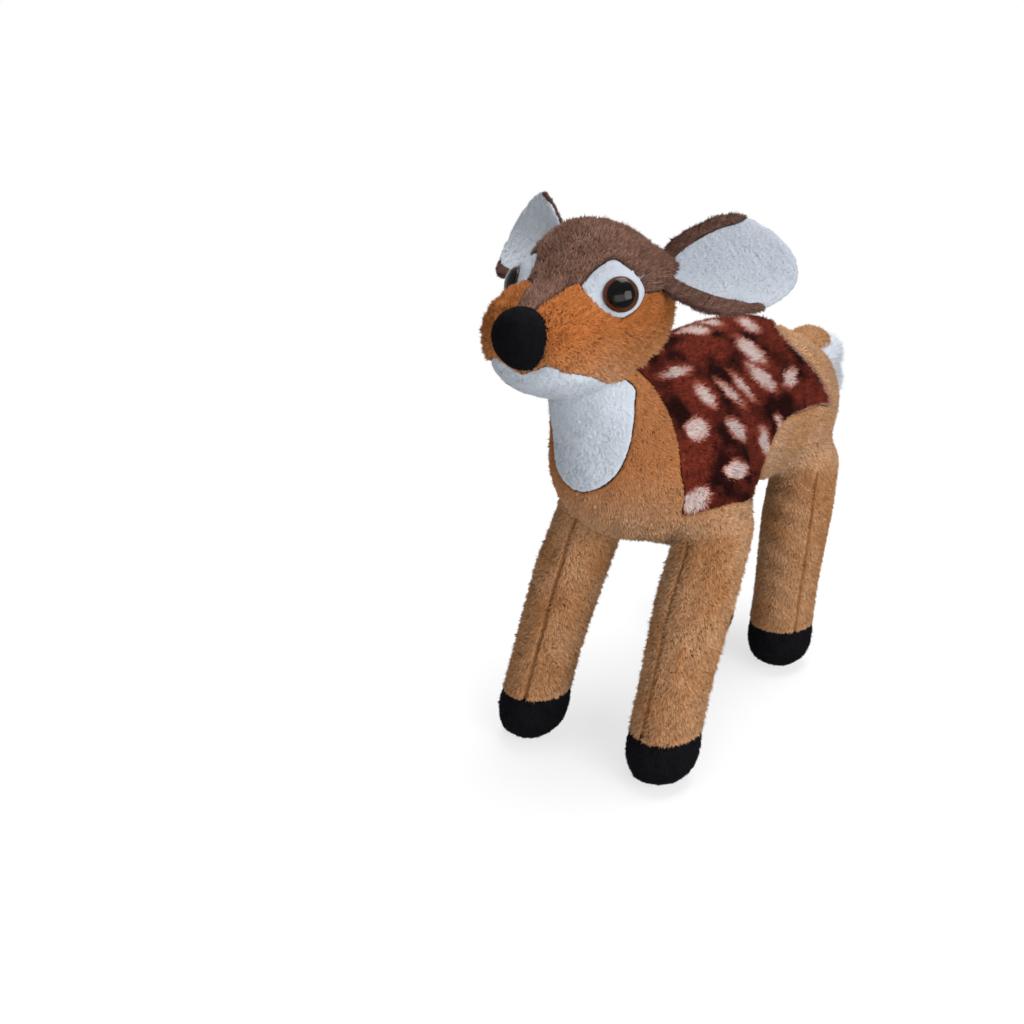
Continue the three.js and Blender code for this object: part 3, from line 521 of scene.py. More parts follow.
class Recipe:
    """The nodes of one material, and the steps that a plush mixes its colour by."""

    def __init__(self, name):
        self.material = bpy.data.materials.new(name)
        self.material.use_nodes = True
        self.tree = self.material.node_tree
        self.shader = self.tree.nodes["Principled BSDF"]
        self.coordinates = self.tree.nodes.new("ShaderNodeTexCoord").outputs["Object"]

    def attribute(self, key):
        node = self.tree.nodes.new("ShaderNodeAttribute")
        node.attribute_name = key
        return node.outputs["Fac"]

    def noise(self, size, low, high, stretch=(1, 1, 1)):
        mapping = self.tree.nodes.new("ShaderNodeMapping")
        mapping.inputs["Scale"].default_value = [1 / (size * along) for along in stretch]
        self.tree.links.new(self.coordinates, mapping.inputs["Vector"])
        node = self.tree.nodes.new("ShaderNodeTexNoise")
        node.inputs["Scale"].default_value = 1
        node.inputs["Detail"].default_value = NOISE_DETAIL
        self.tree.links.new(mapping.outputs["Vector"], node.inputs["Vector"])
        return self.spread(node.outputs["Fac"], low, high)

    def spread(self, value, low, high, to=(0, 1)):
        node = self.tree.nodes.new("ShaderNodeMapRange")
        node.inputs["From Min"].default_value = low
        node.inputs["From Max"].default_value = high
        node.inputs["To Min"].default_value = to[0]
        node.inputs["To Max"].default_value = to[1]
        self.tree.links.new(value, node.inputs["Value"])
        return node.outputs["Result"]

    def along(self, axis, low, high):
        node = self.tree.nodes.new("ShaderNodeSeparateXYZ")
        self.tree.links.new(self.coordinates, node.inputs[0])
        return self.spread(node.outputs[axis], low, high)

    def mix(self, share, first, second):
        node = self.tree.nodes.new("ShaderNodeMix")
        node.data_type = "RGBA"
        for socket, value in ((0, share), (6, first), (7, second)):
            if isinstance(value, bpy.types.NodeSocket):
                self.tree.links.new(value, node.inputs[socket])
            else:
                node.inputs[socket].default_value = value
        return node.outputs[2]

    def finish(self, colour):
        self.tree.links.new(colour, self.shader.inputs["Base Color"])
        self.shader.inputs["Roughness"].default_value = PLUSH_ROUGHNESS
        self.shader.inputs["Specular IOR Level"].default_value = PLUSH_GLOSS
        return self.material


CLOUD_SIZE = 0.024
FIBRE_SIZE = 0.0010
WARM_FADES_FROM = -0.01
WARM_FADES_TO = -0.07


# Warm is a colour that takes the clouds' place on the front of the fawn, and grows between
# two heights.
def plush_material(name, root, tip, cloud, painted_seam_shade, streak=0.7, stretch=(1, 1, 4), warm=None):
    recipe = Recipe(name)
    clouded = recipe.mix(recipe.noise(CLOUD_SIZE, 0.4, 0.68), linear(tip), linear(cloud))
    if warm:
        colour, low, high = warm
        forward_share = recipe.along("Y", WARM_FADES_FROM, WARM_FADES_TO)
        warmed = recipe.mix(forward_share, clouded, linear(colour))
        clouded = recipe.mix(recipe.along("Z", low, high), clouded, warmed)
    fibre = recipe.noise(FIBRE_SIZE, 0.4, 0.7, stretch)
    streaked = recipe.mix(recipe.spread(fibre, 0, 1, (0, streak * 0.3)), clouded, linear(root))
    tone = recipe.spread(recipe.attribute("tone"), 0, 1, (streak, 0))
    toned = recipe.mix(tone, streaked, linear(root))
    # Painted shade: each tuft darkens from its tip down to the root colour, as shade between the
    # tufts.
    grown = recipe.mix(recipe.spread(recipe.attribute("tip"), 0, 1, (0, 1)), linear(root), toned)
    # Painted shade: the pile darkens toward the seam shade colour where it lies deep in a seam's
    # groove.
    seam_shade_share = recipe.spread(recipe.attribute("seam"), 0.25, 1, (0, 0.55))
    return recipe.finish(recipe.mix(seam_shade_share, grown, linear(painted_seam_shade)))


# Each plush by the colours of its roots (which carry painted shade between the tufts), its tips,
# its clouds, and the painted shade in its seams
tan_plush = plush_material("tan_plush", "#7C4D2B", "#E2B78C", "#CE9B6C", "#5A371B")
torso_plush = plush_material(
    "torso_tan_plush", "#7E5232", "#E8C19C", "#D6A87C", "#5A371B", warm=("#C38050", 0.125, 0.165)
)
brown_plush = plush_material(
    "brown_plush", "#3A2722", "#A37D6C", "#84614F", "#30211C", stretch=(2, 3, 1)
)
white_plush = plush_material("white_plush", "#9CA2AA", "#BDC2C9", "#B3B8C0", "#A9AEB6", 0.3)
# A darker copy of the white plush as painted shade, for the eye patches and the left ear's lining,
# which face the key lamp.
painted_shade_white = plush_material("painted_shade_white_plush", "#90959D", "#AFB4BB", "#A6ABB3", "#9CA1A9", 0.3)
# The tail's own white, which also goes on the right ear's lining as a paler copy: painted light on
# that shaded lining.
tail_white_and_painted_light = plush_material("tail_white_and_painted_light_plush", "#A8AEB7", "#DDE1E7", "#D0D5DC", "#9CA2AA", 0.3)
black_plush = plush_material("black_plush", "#08080A", "#17171B", "#111115", "#050506", 0.3)

hips = ["front_left", "front_right", "rear_left", "rear_right"]
hip_pivots = {corner: pivot_of(f"hip_{corner}_swing") for corner in hips}
tail_pivot = pivot_of("tail_swing")
HIP_RADIUS = 0.021
TAIL_ROOT_RADIUS = 0.010
NECK_RADIUS = 0.027
HIP_FILLER = HIP_RADIUS * 0.88
TAIL_FILLER = TAIL_ROOT_RADIUS * 1.1

# Pixels of the photograph that the panel seams pass through, on the side that it shows
SADDLE_PIXELS = [
    (609, 352), (630, 364), (648, 380), (662, 400), (673, 425), (679, 448), (681, 472), (685, 496),
    (683, 514), (705, 510), (730, 503), (748, 499), (757, 482), (765, 456), (776, 432), (786, 417),
    (800, 412), (818, 405), (829, 405), (826, 390), (814, 369), (793, 347), (776, 328), (765, 300),
    (700, 280), (609, 300),
]
BIB_PIXELS = [
    (545, 360), (590, 366), (632, 384), (635, 405), (633, 430), (628, 452), (617, 474), (600, 488),
    (580, 493), (545, 496),
]
BIB_MIDDLE_X = MIDDLE_X - 0.0025
BIB_BACK = neck_pivot.y + 0.012
SADDLE_BACK = 0.093
saddle_line = seam_field(SADDLE_PIXELS)
bib_line = seam_field(BIB_PIXELS)


# The saddle ends before the rump's rear face, which the photograph doesn't show.
def saddle_field(points):
    return np.minimum(saddle_line(points), SADDLE_BACK - points[:, 1])


# The bib lies on the front of the neck only, and a little to the fawn's right of its middle.
def bib_field(points):
    moved = points.copy()
    moved[:, 0] = BIB_MIDDLE_X + np.abs(points[:, 0] - BIB_MIDDLE_X)
    return np.minimum(bib_line(moved), BIB_BACK - points[:, 1])


torso_nodes = ["torso_cover", "saddle_panel", "bib_panel", "torso_stuffing"]
torso_fillers = [ball_at(hip_pivots[corner], HIP_FILLER) for corner in hips]
torso_fillers.append(ball_at(tail_pivot, TAIL_FILLER))
torso_form = soft_form("torso_form", torso_nodes, torso_fillers)
snap_to_seam(torso_form.data, saddle_field)
snap_to_seam(torso_form.data, bib_field)


HIP_HIDES_WITHIN = HIP_RADIUS - 0.006
HEAD_HIDES_WITHIN = NECK_RADIUS + 0.001
HEAD_HIDES_FROM = neck_pivot.z + 0.005


# Faces inside the hips and inside the head never show
def torso_shows(points):
    shows = np.ones(len(points), bool)
    for pivot in hip_pivots.values():
        shows &= np.linalg.norm(points - np.array(pivot), axis=1) > HIP_HIDES_WITHIN
    inside_head = np.linalg.norm(points - np.array(neck_pivot), axis=1) < HEAD_HIDES_WITHIN
    return shows & ~(inside_head & (points[:, 2] > HEAD_HIDES_FROM))


# The torso's pile lies back and down, and more steeply in front of the neck.
def torso_nap(points):
    way = np.zeros_like(points)
    way[:, 1] = 0.8
    way[:, 2] = -0.75
    way[:, 2] -= 0.8 * (points[:, 1] < neck_pivot.y)
    return way


TORSO_PILE = 0.0026
SADDLE_PILE = 0.0032
VELVET_PILE = 0.0010
VELVET_LEAN = 28
torso_middles = face_middles(torso_form.data)
on_saddle = saddle_field(torso_middles) > 0
on_bib = bib_field(torso_middles) > 0
torso_seen = torso_shows(torso_middles)
torso_grooves = groove_of(saddle_field, bib_field)
torso_cover = plush_piece(
    "torso_cover_plush", torso_form, torso_seen & ~on_saddle & ~on_bib, torso_nap,
    torso_grooves, TORSO_PILE,
)
torso_cover.data.materials.append(torso_plush)
bib = plush_piece(
    "bib_plush", torso_form, torso_seen & on_bib, torso_nap, torso_grooves, VELVET_PILE, VELVET_LEAN
)
bib.data.materials.append(white_plush)

# The saddle's print: pale spots with blurred edges, each an ellipse by its middle, its length,
# its breadth and the slope of its length, in pixels of the photograph and degrees
SPOT_PIXELS = [
    (694, 333, 26, 9, 4), (711, 325, 18, 7, 20), (746, 327, 22, 9, 28), (748, 352, 36, 13, 38),
    (758, 377, 36, 12, 42), (787, 378, 19, 12, -75), (739, 386, 30, 6, 48), (727, 393, 32, 7, 42),
    (702, 396, 28, 12, 46), (672, 373, 30, 9, -8), (694, 429, 24, 21, 40), (733, 429, 26, 14, 52),
    (762, 440, 28, 10, 75), (776, 422, 15, 6, 75), (733, 469, 22, 17, -10), (695, 499, 30, 20, -50),
]
SPOT_BLUR = 5
SPOT_WAVE_SIZE, SPOT_WAVE = 0.006, 0.9
EDGE_REACH = 0.0022
EDGE_FROM_Y = 0.03
PATCH_SIZE = 0.02
SADDLE_FIBRE_SIZE = 0.0016


def spots(points):
    flat, _ = in_picture(points)
    flat = flat + waves(points, SPOT_WAVE_SIZE)[:, :2] * SPOT_WAVE
    shade = np.zeros(len(points))
    for x, y, long, short, slope in SPOT_PIXELS:
        turn = math.radians(slope)
        offset = flat - (x, y)
        along = offset @ (math.cos(turn), math.sin(turn))
        across = offset @ (-math.sin(turn), math.cos(turn))
        reach = np.sqrt((along / (long / 2)) ** 2 + (across / (short / 2)) ** 2)
        shade = np.maximum(shade, np.clip(0.5 + (1 - reach) * short / (2 * SPOT_BLUR), 0, 1))
    return shade


# The saddle's cut edge is paler toward the rump.
def saddle_edge(points):
    return np.exp(-(saddle_field(points) / EDGE_REACH) ** 2) * (points[:, 1] > EDGE_FROM_Y)


# Dark patches on red-brown, then the spots with their browner rims, then the paler cut edge, then
# painted shade toward the pile's roots
def saddle_material():
    recipe = Recipe("saddle_plush")
    dark_patches = recipe.noise(PATCH_SIZE, 0.43, 0.61)
    patchy = recipe.mix(dark_patches, linear("#702D20"), linear("#1D0A08"))
    fibre = recipe.noise(SADDLE_FIBRE_SIZE, 0.42, 0.66, (1, 2, 3))
    dark = recipe.mix(recipe.spread(fibre, 0, 1, (0, 0.6)), patchy, linear("#2A0D0A"))
    rim = recipe.mix(recipe.spread(recipe.attribute("spot"), 0, 0.45), dark, linear("#97503F"))
    pale = recipe.mix(recipe.spread(recipe.attribute("spot"), 0.35, 0.9), rim, linear("#C6B1AB"))
    at_edge = recipe.spread(recipe.attribute("edge"), 0.3, 0.9, (0, 0.6))
    edged = recipe.mix(at_edge, pale, linear("#C29C8E"))
    # Painted shade: the saddle's pile darkens further toward its roots, as shade between the tufts.
    root_shade_share = recipe.spread(recipe.attribute("tip"), 0, 1, (0.4, 0))
    return recipe.finish(recipe.mix(root_shade_share, edged, linear("#2A0D0A")))


saddle = plush_piece(
    "saddle_plush", torso_form, torso_seen & on_saddle, torso_nap, torso_grooves, SADDLE_PILE,
    attributes=[("spot", spots), ("edge", saddle_edge)],
)
saddle.data.materials.append(saddle_material())

for piece, slot, nodes in (
    (torso_cover, "tan_plush", ["torso_cover", "torso_stuffing"]),
    (saddle, "saddle_plush", ["saddle_panel"]),
    (bib, "white_plush", ["bib_panel"]),
):
    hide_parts(*nodes)
    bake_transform(piece)
bpy.data.objects.remove(torso_form)


# Legs: four stuffed tubes of tan plush, each closed by one long seam down its front.
# Each ends in a black plush hoof with a sole sewn on below it.
LEG_GRAIN = 0.0037
HOOF_TOP = 0.028
SOLE_TOP = 0.007
HOOF_SWELL = 0.0022
HOOF_SWELL_TOP = HOOF_TOP * 1.1
LEAST_REACH = 0.006
HIP_SLIMS_BY = 0.11
HIP_SLIMS_OVER = 0.035
HIP_HIDES_FROM = 0.012
FRONT_SEAM_TURN = math.radians(9)
REAR_SEAM_TURN = math.radians(-48)
LEG_SEAM_REACH = 0.0010
LEG_SEAM_DEPTH = 3.2
HOOF_SEAM_DEPTH = 0.6
LEG_PILE = 0.0032
HOOF_PILE = 0.0018
SOLE_PILE = 0.0014


# A leg's hip, the middle of its sole, and the way that its long seam faces
def leg_frame(corner):
    pivot = hip_pivots[corner]
    low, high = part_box(f"sole_{corner}")
    foot = Vector(((low.x + high.x) / 2, (low.y + high.y) / 2, 0))
    outward = 1 if "left" in corner else -1
    turn = (FRONT_SEAM_TURN if "front" in corner else REAR_SEAM_TURN) * -outward
    ahead = Vector((math.sin(turn), -math.cos(turn), 0))
    return pivot, foot, ahead


def seam_down_leg(corner):
    pivot, foot, ahead = leg_frame(corner)
    aside = Vector((-ahead.y, ahead.x, 0))

    def field(points):
        share = np.clip((pivot.z - points[:, 2]) / pivot.z, 0, 1)[:, None]
        offset = points - (np.array(pivot) * (1 - share) + np.array(foot) * share)
        lateral = offset @ np.array(aside)
        return np.where(offset @ np.array(ahead) > 0, lateral, 1)
    return field


# How far points are above a level
def level_field(height):
    return lambda points: points[:, 2] - height


def leg_nap(points):
    way = np.zeros_like(points)
    way[:, 2] = -1
    way[:, 1] = 0.15
    return way


# A hoof is fuller than the leg above it, and rounder.
def swell_hoof(mesh, corner):
    foot = np.array(leg_frame(corner)[1])
    points = places(mesh)
    height = np.clip(points[:, 2] / HOOF_SWELL_TOP, 0, 1)
    outward = points - foot
    outward[:, 2] = 0
    outward /= np.maximum(np.linalg.norm(outward, axis=1, keepdims=True), LEAST_REACH)
    points += outward * (HOOF_SWELL * np.sin(math.pi * height))[:, None]
    put_places(mesh, points)


# A leg narrows a little where it is sewn under the body.
def slim_hip(mesh, corner):
    pivot, foot, _ = leg_frame(corner)
    points = places(mesh)
    share = np.clip((pivot.z - points[:, 2]) / pivot.z, 0, 1)[:, None]
    middle = np.array(pivot) * (1 - share) + np.array(foot) * share
    near = np.clip((points[:, 2] - pivot.z) / HIP_SLIMS_OVER + 1, 0, 1)[:, None]
    points -= (points - middle) * HIP_SLIMS_BY * near ** 2 * (3 - 2 * near)
    put_places(mesh, points)


def add_leg(corner):
    pivot = np.array(hip_pivots[corner])
    nodes = [f"{part}_{corner}" for part in ("leg_cover", "hoof", "sole", "leg_stuffing")]
    form = soft_form("leg_form", nodes, grain=LEG_GRAIN)
    swell_hoof(form.data, corner)
    slim_hip(form.data, corner)
    cuff, welt = level_field(HOOF_TOP), level_field(SOLE_TOP)
    for level in (cuff, welt):
        snap_to_seam(form.data, level)
    middles = face_middles(form.data)
    height = middles[:, 2]
    shows = (height < pivot[2] + HIP_HIDES_FROM) | (np.abs(middles[:, 0]) > np.abs(pivot[0]))
    on_leg, on_sole = shows & (height > HOOF_TOP), height <= SOLE_TOP
    on_hoof = (height <= HOOF_TOP) & ~on_sole
    seam = groove_of(seam_down_leg(corner), reach=LEG_SEAM_REACH, depth=LEG_SEAM_DEPTH)
    joined = groove_of(cuff, depth=HOOF_SEAM_DEPTH)
    hoof_grooves = groove_of(cuff, welt, depth=HOOF_SEAM_DEPTH)

    def leg_grooves(points):
        return np.maximum(seam(points), joined(points))

    parts = (
        ("leg_cover", on_leg, leg_grooves, LEG_PILE, tan_plush, "tan_plush"),
        ("hoof", on_hoof, hoof_grooves, HOOF_PILE, black_plush, "black_plush"),
        ("sole", on_sole, hoof_grooves, SOLE_PILE, black_plush, "black_plush"),
    )
    for part, keep, sunk, length, material, slot in parts:
        piece = plush_piece(f"{part}_plush_{corner}", form, keep, leg_nap, sunk, length)
        piece.data.materials.append(material)
        stuffing = [f"leg_stuffing_{corner}"] if part == "leg_cover" else []
        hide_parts(f"{part}_{corner}", *stuffing)
        if part == "leg_cover":
            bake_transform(piece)
        else:
            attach(piece, f"leg_{corner}")
    bpy.data.objects.remove(form)


for hip_name in hips:
    add_leg(hip_name)


# Tail: a tan top sewn to a larger, fluffier white underside.
# It is stuffed lightly and sewn to the rump by its root.
TAIL_GRAIN = 0.0028
TAIL_TOP_PILE, TAIL_TOP_LEAN = 0.0028, 50
TAIL_FRINGE, TAIL_FRINGE_LEAN = 0.0075, 42

# The fluff hangs along the underside: each lump by how far back and how high it is, and its radius
FLUFF_LUMPS = (
    (0.1180, 0.1570, 0.0100), (0.1270, 0.1560, 0.0115),
    (0.1350, 0.1560, 0.0120), (0.1400, 0.1530, 0.0105),
)


def tail_nap(points):
    way = np.zeros_like(points)
    way[:, 1] = 1
    way[:, 2] = -0.6
    return way


def no_grooves(points):
    return np.zeros(len(points))


fluff = [ball_at(Vector((MIDDLE_X, back, height)), radius) for back, height, radius in FLUFF_LUMPS]
for part, length, lean, material, slot, fillers in (
    ("tail_top", TAIL_TOP_PILE, TAIL_TOP_LEAN, tan_plush, "tan_plush", []),
    ("tail_underside", TAIL_FRINGE, TAIL_FRINGE_LEAN, tail_white_and_painted_light, "white_plush", fluff),
):
    form = soft_form(f"{part}_form", [part], fillers, grain=TAIL_GRAIN, rounds=5)
    everything = np.ones(len(form.data.polygons), bool)
    piece = plush_piece(f"{part}_plush", form, everything, tail_nap, no_grooves, length, lean)
    piece.data.materials.append(material)
    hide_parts(part)
    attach(piece, "tail")
    bpy.data.objects.remove(form)


# Head: a brown crown that runs down to the nose, tan cheeks, a white chin and white eye patches.
# The panels are sewn edge to edge and stuffed, and the snout narrows to the nose.
HEAD_GRAIN = 0.0033
CROWN_PILE = 0.0028
CHEEK_PILE = 0.0030
EAR_ROOT_FILLER = 0.0075
EYE_FILLER = 0.0085
EYE_FILLER_SINKS = 0.0075

# Pixels of the photograph that the head's seams pass through
CROWN_PIXELS = [
    (490, 322), (528, 320), (537, 309), (548, 301), (559, 294), (568, 287), (580, 286), (600, 292),
    (645, 293), (660, 291), (675, 292), (720, 292), (790, 292), (790, 150), (450, 150), (450, 322),
]
CHIN_PIXELS = [
    (480, 374), (515, 375), (535, 370), (548, 366), (566, 373), (592, 377), (608, 385), (624, 390),
    (640, 391), (660, 420), (600, 450), (480, 450),
]
EYE_PATCH_PIXELS = [
    (582, 288), (587, 278), (598, 267), (613, 259), (625, 265), (637, 275), (645, 288), (643, 301),
    (634, 312), (620, 318), (603, 311), (592, 300),
]
crown_field = seam_field(CROWN_PIXELS)
chin_field = seam_field(CHIN_PIXELS)
eye_patch_line = seam_field(EYE_PATCH_PIXELS)
FACE_BACK = neck_pivot.y - 0.010


def eye_patch_field(points):
    return np.minimum(eye_patch_line(points), FACE_BACK - points[:, 1])


def head_nap(points):
    way = np.zeros_like(points)
    way[:, 1] = 1
    way[:, 0] = np.sign(points[:, 0] - MIDDLE_X) * 0.3
    way[:, 2] = np.where(crown_field(points) > 0, 0.3, -0.45)
    return way


def mean_place(node):
    return Vector(places(frame["nodes"][node].data).mean(axis=0))


EYE_RADIUS = 0.008
IRIS_ABOVE_SEAT = 0.0022
EYE_RIM_HEIGHT = 0.0006
EYE_PRESS_REACH = 0.0065
EYE_HIDES_WITHIN = EYE_RADIUS * 0.86


# Each eye has a frame at its seat in the cloth, with Z the way that it looks.
def eye_frame(side_name):
    iris, washer = mean_place(f"eye_iris_{side_name}"), mean_place(f"eye_washer_{side_name}")
    out = (iris - washer).normalized()
    along = Vector((0, 0, 1)).cross(out).normalized()
    above = out.cross(along)
    turn = Matrix((along, above, out)).transposed().to_4x4()
    return Matrix.Translation(iris - out * IRIS_ABOVE_SEAT) @ turn


# Points in a frame's own coordinates
def in_frame(points, place):
    inverse = np.array(place.inverted())
    return points @ inverse[:3, :3].T + inverse[:3, 3]


# The cloth about an eye lies flat against the eye's back.
def press_round_eye(mesh, place):
    points = places(mesh)
    local = in_frame(points, place)
    radius = np.hypot(local[:, 0], local[:, 1])
    share = np.clip(1 - (radius - EYE_RADIUS) / EYE_PRESS_REACH, 0, 1)
    share = share ** 2 * (3 - 2 * share) * (np.abs(local[:, 2]) < EYE_RADIUS)
    out = np.array(place)[:3, 2]
    points += out * (share * (EYE_RIM_HEIGHT - local[:, 2]))[:, None]
    put_places(mesh, points)


side_names = ("left", "right")
eye_frames = {side_name: eye_frame(side_name) for side_name in side_names}
NOSE_SHARES = np.array((1.08, 0.8, 0.9))
NOSE_BACK = 0.003
NOSE_FILLER = 0.82
NOSE_FILLER_BACK = 0.8
NOSE_HIDES_WITHIN = 0.93
NECK_HIDES_WITHIN = NECK_RADIUS + 0.0015
nose_low, nose_high = (np.array(corner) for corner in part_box("nose"))
nose_middle, nose_half = (nose_low + nose_high) / 2, (nose_high - nose_low) / 2 * NOSE_SHARES
nose_seat = nose_middle + (0, NOSE_BACK, 0)
head_nodes = ["crown_panel", "chin_panel", "cheek_left", "cheek_right", "eye_patch_left",
              "eye_patch_right", "head_stuffing"]
behind_nose = Vector(nose_seat + (0, nose_half[1] * NOSE_FILLER_BACK, 0))
head_fillers = [ball_at(behind_nose, nose_half[0] * NOSE_FILLER)]
for side_name in side_names:
    behind_eye = eye_frames[side_name] @ Vector((0, 0, -EYE_FILLER_SINKS))
    head_fillers.append(ball_at(pivot_of(f"ear_{side_name}_fold"), EAR_ROOT_FILLER))
    head_fillers.append(ball_at(behind_eye, EYE_FILLER))
head_form = soft_form("head_form", head_nodes, head_fillers, grain=HEAD_GRAIN, rounds=7)
for eye_place in eye_frames.values():
    press_round_eye(head_form.data, eye_place)
for seam in (crown_field, chin_field, eye_patch_field):
    snap_to_seam(head_form.data, seam)
head_middles = face_middles(head_form.data)
neck_room = np.linalg.norm(head_middles - np.array(neck_pivot), axis=1) < NECK_HIDES_WITHIN
on_patch = eye_patch_field(head_middles) > 0
on_crown = ~on_patch & (crown_field(head_middles) > 0)
on_chin = ~on_patch & ~on_crown & (chin_field(head_middles) > 0)
on_cheek = ~on_patch & ~on_crown & ~on_chin
at_left = head_middles[:, 0] > MIDDLE_X
in_nose = np.linalg.norm((head_middles - nose_seat) / nose_half, axis=1) < NOSE_HIDES_WITHIN
head_hidden = neck_room | in_nose
for eye_place in eye_frames.values():
    eye_local = in_frame(head_middles, eye_place)
    beside_axis = np.hypot(eye_local[:, 0], eye_local[:, 1]) < EYE_HIDES_WITHIN
    head_hidden |= beside_axis & (np.abs(eye_local[:, 2]) < EYE_RADIUS)
cheek_plush = plush_material(
    "cheek_plush", "#84461F", "#EBBE92", "#DBA573", "#5E3A1C", stretch=(2, 3, 1),
    warm=("#C07C47", 0.212, 0.236),
)


# The crown's seam ends at the eye patches, and the chin's at the crown.
def crown_seam(points):
    return np.where(eye_patch_field(points) > 0, 1, crown_field(points))


def chin_seam(points):
    return np.where(crown_field(points) > 0, 1, chin_field(points))


crown_look = CROWN_PILE, brown_plush, "brown_plush"
chin_look = VELVET_PILE, white_plush, "white_plush"
cheek_look = CHEEK_PILE, cheek_plush, "tan_plush"
# The eye patches take the white with painted shade.
patch_look = VELVET_PILE, painted_shade_white, "white_plush"
head_grooves = groove_of(eye_patch_field, crown_seam, chin_seam)
for name, keep, (length, material, slot), nodes in (
    ("crown_plush", on_crown, crown_look, ["crown_panel", "head_stuffing"]),
    ("chin_plush", on_chin, chin_look, ["chin_panel"]),
    ("cheek_plush_left", on_cheek & at_left, cheek_look, ["cheek_left"]),
    ("cheek_plush_right", on_cheek & ~at_left, cheek_look, ["cheek_right"]),
    ("eye_patch_plush_left", on_patch & at_left, patch_look, ["eye_patch_left"]),
    ("eye_patch_plush_right", on_patch & ~at_left, patch_look, ["eye_patch_right"]),
):
    lean = VELVET_LEAN if slot == "white_plush" else PILE_LEAN
    piece = plush_piece(name, head_form, keep & ~head_hidden, head_nap, head_grooves, length, lean)
    piece.data.materials.append(material)
    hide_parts(*nodes)
    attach(piece, "head")
bpy.data.objects.remove(head_form)

# Nose: a round pad of short black plush, gathered over stuffing and sewn to the snout.
# It sits a little way back in the snout.
NOSE_GRAIN = 0.0024
NOSE_PILE, NOSE_LEAN = 0.0009, 30
nose_form = soft_form("nose_form", ["nose"], grain=NOSE_GRAIN, rounds=3)
put_places(nose_form.data, nose_seat + (places(nose_form.data) - nose_middle) * NOSE_SHARES)
whole_nose = np.ones(len(nose_form.data.polygons), bool)
nose = plush_piece(
    "nose_plush", nose_form, whole_nose, head_nap, no_grooves, NOSE_PILE, NOSE_LEAN
)
nose.data.materials.append(black_plush)
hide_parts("nose")
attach(nose, "head")
bpy.data.objects.remove(nose_form)


# Eyes: each has a clear dome over a brown ring and a black back, whose middle is the pupil.
# A shank goes through the cloth to a plastic washer, and the washer holds the eye on.
DOME_FOOT = 0.0010
DOME_HEIGHT = 0.0048
RIM_ROUND = 0.0003

# Profiles of the turned pieces, as radius and height above the seat
EYE_BACK_PROFILE = [
    (0, -0.0005), (0.0077, -0.0005), (0.0080, -0.0002), (0.0080, 0.0009), (0.0077, 0.0012),
    (0.0057, 0.0012), (0.0057, 0.0018), (0.0050, 0.0031), (0.0036, 0.0041), (0.0018, 0.0046),
    (0, 0.0047),
]
EYE_RING_PROFILE = [
    (0.0058, 0.0013), (0.0079, 0.0013), (0.0079, 0.0016), (0.0058, 0.0019), (0.0058, 0.0013),
]
WASHER_PROFILE = [
    (0.0024, -0.0051), (0.0060, -0.0051), (0.0060, -0.0036), (0.0024, -0.0036), (0.0024, -0.0051),
]


def turned_piece(name, profile, place, steps=56):
    bm = bmesh.new()
    points = [bm.verts.new((radius, 0, height)) for radius, height in profile]
    edges = [bm.edges.new(pair) for pair in zip(points, points[1:])]
    bmesh.ops.spin(
        bm, geom=points + edges, cent=(0, 0, 0), axis=(0, 0, 1), dvec=(0, 0, 0),
        angle=2 * math.pi, steps=steps, use_merge=True, use_duplicate=False,
    )
    bmesh.ops.remove_doubles(bm, verts=bm.verts, dist=1e-6)
    bmesh.ops.recalc_face_normals(bm, faces=bm.faces)
    bmesh.ops.transform(bm, matrix=place, verts=bm.verts)
    made = object_of(name, bm)
    made.data.polygons.foreach_set("use_smooth", np.ones(len(made.data.polygons), bool))
    return made


def plastic(name, colour, roughness, clear=0, index=1.46, specular=0.5):
    recipe = Recipe(name)
    recipe.shader.inputs["Base Color"].default_value = linear(colour)
    recipe.shader.inputs["Roughness"].default_value = roughness
    recipe.shader.inputs["Transmission Weight"].default_value = clear
    recipe.shader.inputs["IOR"].default_value = index
    recipe.shader.inputs["Specular IOR Level"].default_value = specular
    return recipe.material


dome_arc = [
    (EYE_RADIUS * math.cos(turn), DOME_FOOT + RIM_ROUND + DOME_HEIGHT * math.sin(turn))
    for turn in np.linspace(0, math.pi / 2, 16)
]
dome_arc[-1] = (0, dome_arc[-1][1])
dome_profile = [(0, DOME_FOOT), (EYE_RADIUS - RIM_ROUND, DOME_FOOT), *dome_arc]
eye_parts = (
    ("eye_back", EYE_BACK_PROFILE, plastic("eye_black", "#020202", 0.5, specular=0), "eye_black"),
    ("eye_iris", EYE_RING_PROFILE, plastic("eye_ring", "#4A2C1C", 0.4, specular=0), "eye_ring"),
    ("eye_dome", dome_profile, plastic("eye_dome", "#E0C0A4", 0.04, 1, index=1.22), "eye_dome"),
    ("eye_washer", WASHER_PROFILE, plastic("washer_plastic", "#D8D8D6", 0.5), "washer_plastic"),
)
for side_name in side_names:
    for part, profile, material, slot in eye_parts:
        piece = turned_piece(f"{part}_shown_{side_name}", profile, eye_frames[side_name])
        piece.data.materials.append(material)
        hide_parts(f"{part}_{side_name}")
        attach(piece, "head")


